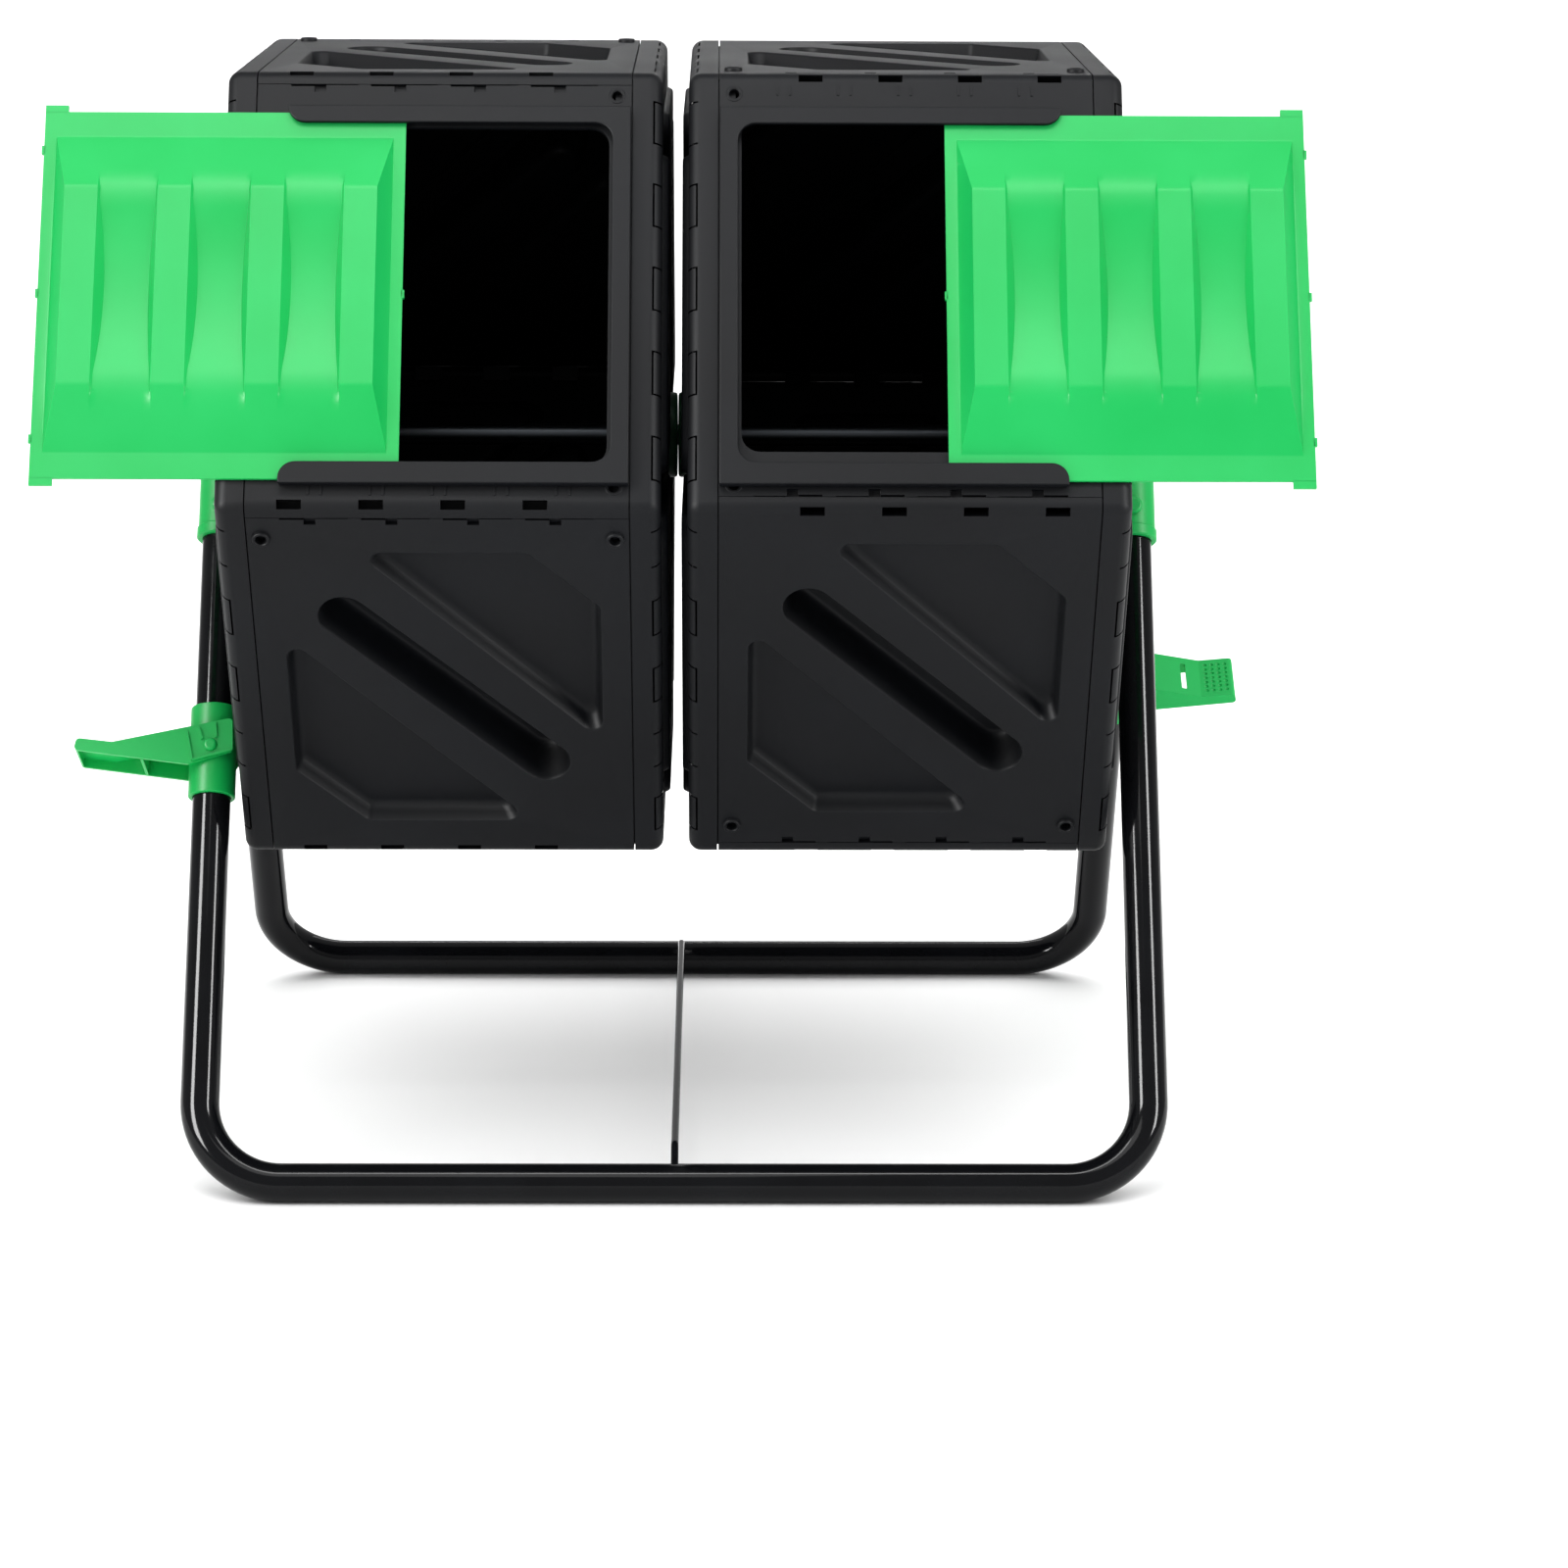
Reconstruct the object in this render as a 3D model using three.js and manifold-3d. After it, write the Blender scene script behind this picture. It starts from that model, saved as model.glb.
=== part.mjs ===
// Dual-chamber compost tumbler: two hexagonal drums that turn on one axle between two
// A-shaped ends made of bent steel tube.
// Units are millimetres. +X runs along the axle, -Y is the door side, +Z is up.
// The origin is on the ground, under the middle of the axle.
import * as THREE from "three";
import { mergeVertices } from "three/addons/utils/BufferGeometryUtils.js";
import Module from "manifold-3d";

const wasm = await Module();
wasm.setup();

// ---- driving dimensions ------------------------------------------------------------------
const GAP = 0.3; // clearance between pieces that seat on each other
const AXIS_HEIGHT = 506; // axle centre above the ground
const HEX_SIDE = 327; // side of the drum's hexagon, which is also its corner radius
const FIRST_PANEL_TILT = 30; // degrees from the horizontal to the door panel's normal
const PANEL_WIDTH = 264.7; // side panel, along the axle
const PANEL_WALL = 4;
const CHAMBER_CENTRE = 162.65; // middle of a chamber from the middle of the axle
const CAP_DEPTH = 21; // end cap, from its seam with the panels to its face
const CAP_EDGE = 9; // rounding between the cap's rim and its face
const CAP_WALL = 3.6;
const CAP_LIP = 12; // how far the cap reaches inside the panels
const PAD_HEIGHT = 4.6; // raised pads on the cap's face
const PAD_INNER = 84; // apothem where a pad starts
const PAD_OUTER = 252; // apothem where a pad ends
const PAD_SPACING = 26; // between the long sides of neighbouring pads
const HUB_RING_RADIUS = 58;
const HUB_SEAT_RADIUS = 24;

const POCKET_DEPTH = 8.5; // pressed recesses in the side panels
const POCKET_EDGE = 112; // outermost reach of a recess across the panel
const POCKET_TOP = 117; // outermost reach of a recess along the panel
const POCKET_CHAMFER = 46; // corner cut off each five-sided recess
const POCKET_TAIL = 45; // where a five-sided recess ends beside the slot
const SLOT_REACH = 69; // end centres of the diagonal slot
const SLOT_WIDTH = 30;
const SLOT_DEPTH = 18;
const VENT_COUNT = 4;
const VENT_PITCH = 56.3;
const VENT_SHIFT = 17.1; // middle of the row of vents, towards the legs
const VENT_WIDTH = 17;
const VENT_HEIGHT = 6;
const VENT_EDGE = 10; // vent centre from the panel's edge

const OPENING_WIDTH = 232.5;
const OPENING_SHIFT = -5; // along the panel, towards its lower edge
const OPENING_CORNER = 13;
const RAIL_BASE = 4.4; // height of the slot that the door runs in
const RAIL_LIP = 3.4; // thickness of the lip over the door's edge
const RAIL_MARGIN = 3; // rail width outside the door's slot
const RAIL_END = 109; // rail ends from the chamber's middle
const RAIL_TIP = 12; // rounded inner corner at each rail's open end
const RAIL_LIP_GAP = 0.5; // from the panel's opening back to the lip's edge
const RAIL_POST = 3.2; // upright wall under the bar at the closed end
const RAIL_SIDE_WIDTH = 12.6; // width of the upright bar at the closed end

const DOOR_WIDTH = 253;
const DOOR_HEIGHT = 274;
const DOOR_SHIFT = -6.5; // along the panel, towards its lower edge
const DOOR_LAP = 10.5; // how far the door laps over the opening's upper and lower edges
const DOOR_FLANGE = 3;
const DOOR_OPEN = 153; // how far the door is slid out
const DOOR_RAISE = 16; // crown above the flange
const CROWN_BORDER = 8.5;
const CROWN_BORDER_END = 19; // same, along the panel
const CROWN_DRAFT = 9;
const CROWN_RAMP = 44;
const RIB_COUNT = 4;
const RIB_WIDTH = 23;
const VALLEY_DEPTH = 10;
const DOOR_TAB = [16, 5];

const TUBE_RADIUS = 14;
const TUBE_WALL = 1.5;
const LEG_X = 341; // leg centre line from the middle
const FOOT_Y = 304; // ground bar centre line from the middle
const BEND_RADIUS = 60;
const LEG_TOP_GAP = 34; // tube end from the axle centre
const ROD_RADIUS = 2.75;
const ROD_HOOK = 12;

const AXLE_RADIUS = 8;
const AXLE_OVERHANG = 26; // axle end beyond the leg centre line
const RUNNING_CLEARANCE = 0.4;
const BUSH_RADIUS = 32;
const BUSH_SLEEVE = 13;
const AXLE_CAP_RADIUS = 13;

const BOSS_OF_BRACKET = 24; // radius of the boss round the axle
const SLEEVE_WALL = 3;
const SLEEVE_END = 99; // lower end of a bracket sleeve from the axle centre
const SLEEVE_START = 22;
const WEB_REACH = 71; // bracket web, from the axle centre along each leg
const WEB_NOTCH = 47; // its lower edge under the axle
const WEB_TOP = 18;
const WEB_THICK = 8;
const BRACKET_BOLT = 63.5; // bolt from the axle centre, along the leg
const BOLT_RADIUS = 3;
const BOLT_HEAD = 6.5;

const COLLAR_CENTRE = 255; // lever collar from the axle centre, along the leg
const COLLAR_LENGTH = 77;
const COLLAR_WALL = 3;
const PIN_RADIUS = 3;
const PIN_HEAD = 5;
const LEVER_GAP = 1;
const LEVER_CHEEK = 2.6;
const LEVER_REACH = 98; // paddle end from the pin
const LEVER_NOSE = 16.5; // cam end from the pin, on the drum side
const LEVER_TOP = 21;
const LEVER_BOTTOM = 15;
const PADDLE_HEIGHT = 9;

// ---- colours -----------------------------------------------------------------------------
const finish = (color, roughness, metalness = 0) => ({ color, roughness, metalness });
const BLACK_PLASTIC = finish(0x2e3033, 0.55);
const GREEN_PLASTIC = finish(0x2fd873, 0.4);
const DARK_GREEN_PLASTIC = finish(0x0f4a2c, 0.5);
const BLACK_PAINT = finish(0x0b0b0d, 0.12, 0.4);
const STEEL = finish(0x9a9c9f, 0.35, 1);

// ---- derived sizes -----------------------------------------------------------------------
const rad = THREE.MathUtils.degToRad;
const APOTHEM = HEX_SIDE * Math.cos(rad(30));
const ROUND = 16; // facets on a round piece
const TUBE_SIDES = 12;
const FOOT_RISE = TUBE_RADIUS * Math.cos(Math.PI / TUBE_SIDES); // the bar rests on a flat of its tube
const LEG_RISE = AXIS_HEIGHT - FOOT_RISE;
const LEG_LEAN = Math.atan2(FOOT_Y, LEG_RISE); // each leg points at the axle
const LEG_LENGTH = Math.hypot(FOOT_Y, LEG_RISE);
const DOOR_BACK = 0.7; // air under the door's flange
const DOOR_SLOT = DOOR_HEIGHT / 2 + 1.2; // half height of the space between the rails
const SLEEVE_RADIUS = TUBE_RADIUS + GAP + SLEEVE_WALL;
const BRACKET_HALF = SLEEVE_RADIUS - GAP; // half thickness of the bracket's boss along the axle
const COLLAR_RADIUS = TUBE_RADIUS + GAP + COLLAR_WALL;
const OPENING_HEIGHT = DOOR_HEIGHT - 2 * DOOR_LAP;
const AXLE_LENGTH = 2 * (LEG_X + AXLE_OVERHANG);

// ---- solids ------------------------------------------------------------------------------
const V = (x, y, z) => new THREE.Vector3(x, y, z);

function solid(geometry) {
  const bare = geometry.clone();
  bare.deleteAttribute("normal");
  bare.deleteAttribute("uv");
  const merged = mergeVertices(bare, 1e-4);
  const vertProperties = new Float32Array(merged.attributes.position.array);
  const triVerts = new Uint32Array(merged.index.array);
  return new wasm.Manifold(new wasm.Mesh({ numProp: 3, vertProperties, triVerts }));
}

function geometryOf(body) {
  const mesh = body.getMesh();
  const geometry = new THREE.BufferGeometry();
  geometry.setAttribute("position", new THREE.BufferAttribute(mesh.vertProperties, 3));
  geometry.setIndex(new THREE.BufferAttribute(mesh.triVerts, 1));
  geometry.computeVertexNormals();
  return geometry;
}

const joined = (first, ...others) => others.reduce((body, next) => body.add(next), first);
const cut = (first, ...others) => others.reduce((body, next) => body.subtract(next), first);

function part(name, shape, look) {
  const geometry = shape.isBufferGeometry ? shape : geometryOf(shape);
  const material = new THREE.MeshStandardMaterial({ ...look, flatShading: true });
  const mesh = new THREE.Mesh(geometry, material);
  mesh.name = name;
  return mesh;
}

function box(x0, x1, y0, y1, z0, z1) {
  const geometry = new THREE.BoxGeometry(x1 - x0, y1 - y0, z1 - z0);
  geometry.translate((x0 + x1) / 2, (y0 + y1) / 2, (z0 + z1) / 2);
  return solid(geometry);
}

// A round bar from one point to another.
function bar(start, end, radius, sides = 16) {
  const run = end.clone().sub(start);
  const geometry = new THREE.CylinderGeometry(radius, radius, run.length(), sides);
  const turn = new THREE.Quaternion().setFromUnitVectors(V(0, 1, 0), run.clone().normalize());
  geometry.applyQuaternion(turn);
  const middle = start.clone().add(end).multiplyScalar(0.5);
  geometry.translate(middle.x, middle.y, middle.z);
  return solid(geometry);
}

// The space that a round bar of this radius needs: no flat of it comes nearer than the radius.
function hole(start, end, radius, sides = 16) {
  return bar(start, end, radius / Math.cos(Math.PI / sides), sides);
}

// A turned piece on the X axis: the profile gives [x, radius] points.
function turned(profile, sides, start = 0) {
  const ring = profile.map(([x, r]) => new THREE.Vector2(r, x));
  const points = THREE.ShapeUtils.isClockWise(ring) ? ring.reverse() : ring;
  const geometry = new THREE.LatheGeometry(points, sides, start);
  geometry.rotateZ(-Math.PI / 2);
  return solid(geometry);
}

// A flat outline in panel coordinates (x, u), thickened outwards from one depth to another.
function slab(outline, from, to) {
  const geometry = new THREE.ExtrudeGeometry(outline, { depth: to - from, bevelEnabled: false });
  geometry.translate(0, 0, from);
  geometry.rotateX(Math.PI / 2);
  geometry.translate(0, -APOTHEM, 0);
  return solid(geometry);
}

// A profile in panel coordinates (u, depth), run along X.
function ridge(points, x0, x1) {
  const outline = new THREE.Shape(points.map(([u, n]) => new THREE.Vector2(-APOTHEM - n, u)));
  const geometry = new THREE.ExtrudeGeometry(outline, { depth: x1 - x0, bevelEnabled: false });
  geometry.rotateY(Math.PI / 2);
  geometry.rotateX(Math.PI / 2);
  geometry.translate(x0, 0, 0);
  return solid(geometry);
}

function rounded(points, radius, segments = 2) {
  const shape = new THREE.Shape();
  const count = points.length;
  points.forEach((corner, i) => {
    const here = new THREE.Vector2(...corner);
    const before = new THREE.Vector2(...points[(i + count - 1) % count]).sub(here);
    const after = new THREE.Vector2(...points[(i + 1) % count]).sub(here);
    const half = before.angleTo(after) / 2;
    const reach = Math.min(radius / Math.tan(half), before.length() / 2.1, after.length() / 2.1);
    const start = here.clone().add(before.setLength(reach));
    const end = here.clone().add(after.setLength(reach));
    const curve = new THREE.QuadraticBezierCurve(start, here, end);
    curve.getPoints(segments).forEach((point, k) => {
      if (i === 0 && k === 0) shape.moveTo(point.x, point.y);
      else shape.lineTo(point.x, point.y);
    });
  });
  shape.closePath();
  return shape;
}

const rectangle = (x0, x1, u0, u1) => [[x0, u0], [x1, u0], [x1, u1], [x0, u1]];

function stadium(reach, width) {
  const shape = new THREE.Shape();
  const heading = Math.atan2(-1, 1);
  const steps = 4;
  [[1, heading], [-1, heading + Math.PI]].forEach(([end, facing]) => {
    for (let i = 0; i <= steps; i += 1) {
      const angle = facing - Math.PI / 2 + (Math.PI * i) / steps;
      const x = end * reach + (width / 2) * Math.cos(angle);
      const u = -end * reach + (width / 2) * Math.sin(angle);
      if (end === 1 && i === 0) shape.moveTo(x, u);
      else shape.lineTo(x, u);
    }
  });
  shape.closePath();
  return shape;
}

// ---- drum panels -------------------------------------------------------------------------
const HALF_PANEL = PANEL_WIDTH / 2;
const MITRE = Math.tan(rad(30));

// The bare panel: its long edges are mitred so that six of them close into a hexagon.
function panelPlate() {
  const half = HEX_SIDE / 2 - GAP / 2 / Math.cos(rad(30));
  const inner = half - PANEL_WALL * MITRE;
  const profile = [[-half, 0], [half, 0], [inner, -PANEL_WALL], [-inner, -PANEL_WALL]];
  return ridge(profile, -HALF_PANEL, HALF_PANEL);
}

// A row of vents beside one long edge: the lower edge in the left drum and the upper one in the right.
function vents(side) {
  const from = side * VENT_SHIFT - ((VENT_COUNT - 1) * VENT_PITCH) / 2;
  const u = side * (HEX_SIDE / 2 - VENT_EDGE);
  return Array.from({ length: VENT_COUNT }, (_, i) => {
    const x = from + i * VENT_PITCH;
    const hole = new THREE.Shape(
      rectangle(x - VENT_WIDTH / 2, x + VENT_WIDTH / 2, u - VENT_HEIGHT / 2, u + VENT_HEIGHT / 2)
        .map((point) => new THREE.Vector2(...point)),
    );
    return slab(hole, -PANEL_WALL - 1, 1);
  });
}

function recessOutlines() {
  const e = POCKET_EDGE;
  const t = POCKET_TOP;
  const upper = [
    [-POCKET_TAIL, t],
    [e - POCKET_CHAMFER, t],
    [e, t - POCKET_CHAMFER],
    [e, -POCKET_TAIL],
  ];
  const lower = upper.map(([x, u]) => [-x, -u]);
  return { upper, lower };
}

function grown(points, by) {
  const share = 1 / points.length;
  const centre = points.reduce(([a, b], [x, u]) => [a + x * share, b + u * share], [0, 0]);
  return points.map(([x, u]) => {
    const away = new THREE.Vector2(x - centre[0], u - centre[1]);
    away.setLength(away.length() + by);
    return [centre[0] + away.x, centre[1] + away.y];
  });
}

// A side panel with its three pressed recesses: a diagonal slot between two five-sided ones.
function sidePanel(side) {
  const { upper, lower } = recessOutlines();
  const wall = PANEL_WALL;
  const trays = [
    ...[upper, lower].map((outline) => slab(rounded(grown(outline, wall), 14), -POCKET_DEPTH - wall, -1)),
    slab(stadium(SLOT_REACH, SLOT_WIDTH + 2 * wall), -SLOT_DEPTH - wall, -1),
  ];
  const hollows = [
    ...[upper, lower].map((outline) => slab(rounded(outline, 12), -POCKET_DEPTH, 1)),
    slab(stadium(SLOT_REACH, SLOT_WIDTH), -SLOT_DEPTH, 1),
  ];
  const body = joined(panelPlate(), ...trays);
  return cut(body, ...hollows, ...vents(side));
}

// The door panel is cut away for the opening, and has bosses at its closed end only.
function doorPanel(side) {
  const u0 = OPENING_SHIFT - OPENING_HEIGHT / 2;
  const u1 = OPENING_SHIFT + OPENING_HEIGHT / 2;
  const opening = rounded(rectangle(-OPENING_WIDTH / 2, OPENING_WIDTH / 2, u0, u1), OPENING_CORNER);
  return cut(panelPlate(), slab(opening, -PANEL_WALL - 1, 1), ...vents(side));
}

// The frame that the door slides in: two rails and the upright bar at the closed end.
function doorRails(side) {
  const outer = DOOR_SLOT + RAIL_MARGIN;
  const lipIn = OPENING_HEIGHT / 2 + RAIL_LIP_GAP;
  const closed = -side * (HALF_PANEL - 1);
  const open = side * RAIL_END;
  const inner = closed + side * RAIL_SIDE_WIDTH;
  const post = closed + side * RAIL_POST;
  const overlap = 0.5; // the bases reach this far into the lip above them
  const base = (end, u0, u1) => {
    const corners = rectangle(Math.min(closed, end), Math.max(closed, end), u0, u1);
    const outline = new THREE.Shape(corners.map((point) => new THREE.Vector2(...point)));
    return slab(outline, GAP, GAP + RAIL_BASE + overlap);
  };
  const edge = (way) => {
    const out = DOOR_SHIFT + way * outer;
    const lipEdge = OPENING_SHIFT + way * lipIn;
    const cut = 0.3; // how near its corner a two-step rounding passes
    return [
      [closed, out],
      [open, out],
      [open, lipEdge + way * RAIL_TIP],
      [open - side * RAIL_TIP * cut, lipEdge + way * RAIL_TIP * cut],
      [open - side * RAIL_TIP, lipEdge],
      [inner + side * OPENING_CORNER, lipEdge],
      [inner + side * OPENING_CORNER * cut, lipEdge - way * OPENING_CORNER * cut],
      [inner, lipEdge - way * OPENING_CORNER],
    ];
  };
  const path = [...edge(-1), ...edge(1).reverse()];
  const lip = new THREE.Shape(path.map((point) => new THREE.Vector2(...point)));
  return joined(
    slab(lip, GAP + RAIL_BASE, GAP + RAIL_BASE + RAIL_LIP),
    base(open, DOOR_SHIFT + DOOR_SLOT, DOOR_SHIFT + outer),
    base(open, DOOR_SHIFT - outer, DOOR_SHIFT - DOOR_SLOT),
    base(post, DOOR_SHIFT - DOOR_SLOT - 1, DOOR_SHIFT + DOOR_SLOT + 1),
  );
}

// The sliding door: a flange that runs in the rails, and a crown with ribs and dished valleys.
function slidingDoor(side) {
  const mid = DOOR_SHIFT;
  const n0 = DOOR_BACK;
  const n1 = DOOR_BACK + DOOR_FLANGE;
  const top = n1 + DOOR_RAISE;
  const half = DOOR_WIDTH / 2;
  const tall = DOOR_HEIGHT / 2;
  const outerEdge = side * half;
  const plate = new THREE.Shape();
  const [tabX, tabU] = DOOR_TAB;
  const corner = [
    [-outerEdge, mid - tall],
    [outerEdge - side * tabX, mid - tall],
    [outerEdge - side * tabX, mid - tall - tabU],
    [outerEdge, mid - tall - tabU],
  ];
  const across = corner.slice().reverse().map(([x, u]) => [x, 2 * mid - u]);
  [...corner, ...across].forEach(([x, u], i) => (i ? plate.lineTo(x, u) : plate.moveTo(x, u)));
  plate.closePath();
  const foot = tall - CROWN_BORDER_END;
  const flat = foot - CROWN_RAMP;
  const crownHalf = half - CROWN_BORDER;
  const crownProfile = [[mid - foot, n1 - 1], [mid + foot, n1 - 1], [mid + flat, top], [mid - flat, top]];
  const crown = ridge(crownProfile, -crownHalf, crownHalf);
  const slope = CROWN_DRAFT / DOOR_RAISE;
  const sideCut = (way) => {
    const reach = 40;
    const outline = new THREE.Shape([
      new THREE.Vector2(way * crownHalf, n1),
      new THREE.Vector2(way * (crownHalf - reach * slope), n1 + reach),
      new THREE.Vector2(way * (crownHalf + reach), n1 + reach),
      new THREE.Vector2(way * (crownHalf + reach), n1),
    ]);
    const geometry = new THREE.ExtrudeGeometry(outline, { depth: 2 * tall, bevelEnabled: false });
    geometry.translate(0, APOTHEM, -tall + mid);
    geometry.scale(1, -1, 1);
    if (geometry.index === null) flipFaces(geometry);
    return solid(geometry);
  };
  const hollow = ridge(
    [[mid - foot + 6, n0 - 1], [mid + foot - 6, n0 - 1], [mid + flat, n1 + 3], [mid - flat, n1 + 3]],
    -crownHalf + CROWN_DRAFT, crownHalf - CROWN_DRAFT,
  );
  const topHalf = crownHalf - CROWN_DRAFT;
  const pitch = (2 * topHalf - RIB_WIDTH) / (RIB_COUNT - 1);
  const valleys = Array.from({ length: RIB_COUNT - 1 }, (_, i) => {
    const x0 = -topHalf + RIB_WIDTH + i * pitch;
    const steps = 8;
    const arc = Array.from({ length: steps + 1 }, (__, k) => {
      const t = -1 + (2 * k) / steps;
      return [mid + flat * t, top - VALLEY_DEPTH * (1 - t * t)];
    });
    return ridge([...arc, [mid + flat, top + 5], [mid - flat, top + 5]], x0, x0 + pitch - RIB_WIDTH);
  });
  return cut(joined(slab(plate, n0, n1), crown), sideCut(1), sideCut(-1), ...valleys, hollow);
}

function flipFaces(geometry) {
  const position = geometry.attributes.position;
  for (let i = 0; i < position.count; i += 3) {
    const a = V(0, 0, 0).fromBufferAttribute(position, i + 1);
    const b = V(0, 0, 0).fromBufferAttribute(position, i + 2);
    position.setXYZ(i + 1, b.x, b.y, b.z);
    position.setXYZ(i + 2, a.x, a.y, a.z);
  }
}

// ---- end caps and bushes -----------------------------------------------------------------
// A hexagonal dish on the X axis: its open side faces -X, and its lip fits inside the panels.
function endCap() {
  const rim = HEX_SIDE;
  const lip = rim - (PANEL_WALL + GAP) / Math.cos(rad(30));
  const lipIn = lip - CAP_WALL;
  const face = CAP_DEPTH;
  const edge = CAP_EDGE;
  const profile = [
    [face, 0],
    [face, rim - edge * 1.6],
    [face - edge * 0.3, rim - edge * 0.5],
    [face - edge, rim],
    [GAP, rim],
    [GAP, lip],
    [-CAP_LIP, lip],
    [-CAP_LIP, lipIn],
    [face - edge, rim - CAP_WALL * 1.4],
    [face - CAP_WALL, rim - edge * 1.6 - CAP_WALL],
    [face - CAP_WALL, 0],
  ];
  const dish = turned(profile, 6, rad(30)); // corners to the front and back
  const pads = Array.from({ length: 6 }, (_, i) => {
    const inset = PAD_SPACING / 2 / Math.cos(rad(30));
    const reach = (apothem) => apothem * MITRE - inset;
    const outline = rounded(
      [
        [PAD_INNER, -reach(PAD_INNER)],
        [PAD_OUTER, -reach(PAD_OUTER)],
        [PAD_OUTER, reach(PAD_OUTER)],
        [PAD_INNER, reach(PAD_INNER)],
      ],
      14,
    );
    const geometry = new THREE.ExtrudeGeometry(outline, { depth: PAD_HEIGHT + 1, bevelEnabled: false });
    geometry.rotateZ(rad(FIRST_PANEL_TILT + 60 * i));
    geometry.translate(0, 0, face - 1);
    geometry.rotateY(Math.PI / 2);
    return solid(geometry);
  });
  const hub = bar(V(-CAP_LIP, 0, 0), V(face + PAD_HEIGHT * 0.4, 0, 0), HUB_RING_RADIUS, 18);
  const hubHollow = bar(V(-CAP_LIP - 1, 0, 0), V(face - CAP_WALL * 2, 0, 0), HUB_RING_RADIUS - 5, 18);
  const seat = bar(V(-CAP_LIP - 1, 0, 0), V(face + PAD_HEIGHT * 0.4 - 3, 0, 0), HUB_SEAT_RADIUS, ROUND);
  const bore = bar(V(-CAP_LIP - 2, 0, 0), V(face + 20, 0, 0), BUSH_SLEEVE + GAP, ROUND);
  return cut(joined(dish, hub, ...pads), cut(hubHollow, seat), bore);
}

// A flanged bush: its flange lies on the cap's hub and its sleeve runs in the cap's bore.
function bush(reach) {
  const seat = CAP_DEPTH + PAD_HEIGHT * 0.4 + GAP;
  const bore = (AXLE_RADIUS + RUNNING_CLEARANCE) / Math.cos(Math.PI / ROUND);
  const chamfer = 2;
  return turned(
    [
      [-CAP_LIP, bore],
      [seat + reach, bore],
      [seat + reach, BUSH_RADIUS - chamfer],
      [seat + reach - chamfer, BUSH_RADIUS],
      [seat, BUSH_RADIUS],
      [seat, BUSH_SLEEVE],
      [-CAP_LIP, BUSH_SLEEVE],
      [-CAP_LIP, bore],
    ],
    ROUND,
  );
}

function chamber(side, name) {
  const group = new THREE.Group();
  group.position.set(side * CHAMBER_CENTRE, 0, AXIS_HEIGHT);
  const facing = new THREE.Group();
  facing.rotation.x = -rad(FIRST_PANEL_TILT);
  facing.add(part(`${name}_door_panel`, doorPanel(side), BLACK_PLASTIC));
  facing.add(part(`${name}_door_rails`, doorRails(side), BLACK_PLASTIC));
  const door = part(`${name}_door`, slidingDoor(side), GREEN_PLASTIC);
  door.position.x = side * DOOR_OPEN;
  facing.add(door);
  group.add(facing);
  for (let i = 1; i < 6; i += 1) {
    const panel = part(`${name}_panel_${i}`, sidePanel(side), BLACK_PLASTIC);
    panel.rotation.x = -rad(FIRST_PANEL_TILT + 60 * i);
    group.add(panel);
  }
  [[1, side > 0 ? "outer" : "inner"], [-1, side > 0 ? "inner" : "outer"]].forEach(([way, place]) => {
    const end = new THREE.Group();
    end.position.x = way * HALF_PANEL;
    end.rotation.y = way > 0 ? 0 : Math.PI;
    end.add(part(`${name}_${place}_cap`, endCap(), BLACK_PLASTIC));
    const room = place === "inner" ? INNER_ROOM : OUTER_ROOM;
    end.add(part(`${name}_${place}_bush`, bush(room), DARK_GREEN_PLASTIC));
    group.add(end);
  });
  return group;
}

const CAP_FACE = CHAMBER_CENTRE + HALF_PANEL + CAP_DEPTH + PAD_HEIGHT * 0.4 + GAP;
const INNER_FACE = CHAMBER_CENTRE - HALF_PANEL - CAP_DEPTH - PAD_HEIGHT * 0.4 - GAP;
const INNER_ROOM = INNER_FACE - GAP; // the two inner bushes nearly meet in the middle
const OUTER_ROOM = LEG_X - BRACKET_HALF - CAP_FACE - GAP;

// ---- frame -------------------------------------------------------------------------------
// One end of the frame is a single bent tube: two leaning legs and the bar on the ground.
const footPoint = (x, way) => V(x, way * FOOT_Y, FOOT_RISE);
const legPoint = (x, way, fromAxle) => V(
  x,
  way * fromAxle * Math.sin(LEG_LEAN),
  AXIS_HEIGHT - fromAxle * Math.cos(LEG_LEAN),
);

class BentTube extends THREE.Curve {
  constructor(corners, radius) {
    super();
    this.path = new THREE.CurvePath();
    let last = corners[0];
    corners.slice(1, -1).forEach((corner, i) => {
      const back = last.clone().sub(corner).normalize();
      const on = corners[i + 2].clone().sub(corner).normalize();
      const half = back.angleTo(on) / 2;
      const reach = radius / Math.tan(half);
      const start = corner.clone().addScaledVector(back, reach);
      const end = corner.clone().addScaledVector(on, reach);
      const inwards = back.clone().add(on).normalize();
      const centre = corner.clone().addScaledVector(inwards, radius / Math.sin(half));
      this.path.add(new THREE.LineCurve3(last, start));
      this.path.add(new ArcCurve(centre, start, end));
      last = end;
    });
    this.path.add(new THREE.LineCurve3(last, corners[corners.length - 1]));
  }

  getPoint(t, target) {
    return this.path.getPoint(t, target);
  }
}

class ArcCurve extends THREE.Curve {
  constructor(centre, start, end) {
    super();
    this.centre = centre;
    this.from = start.clone().sub(centre);
    this.to = end.clone().sub(centre);
    this.angle = this.from.angleTo(this.to);
  }

  getPoint(t) {
    const a = Math.sin((1 - t) * this.angle) / Math.sin(this.angle);
    const b = Math.sin(t * this.angle) / Math.sin(this.angle);
    return this.centre.clone().addScaledVector(this.from, a).addScaledVector(this.to, b);
  }
}

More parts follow.
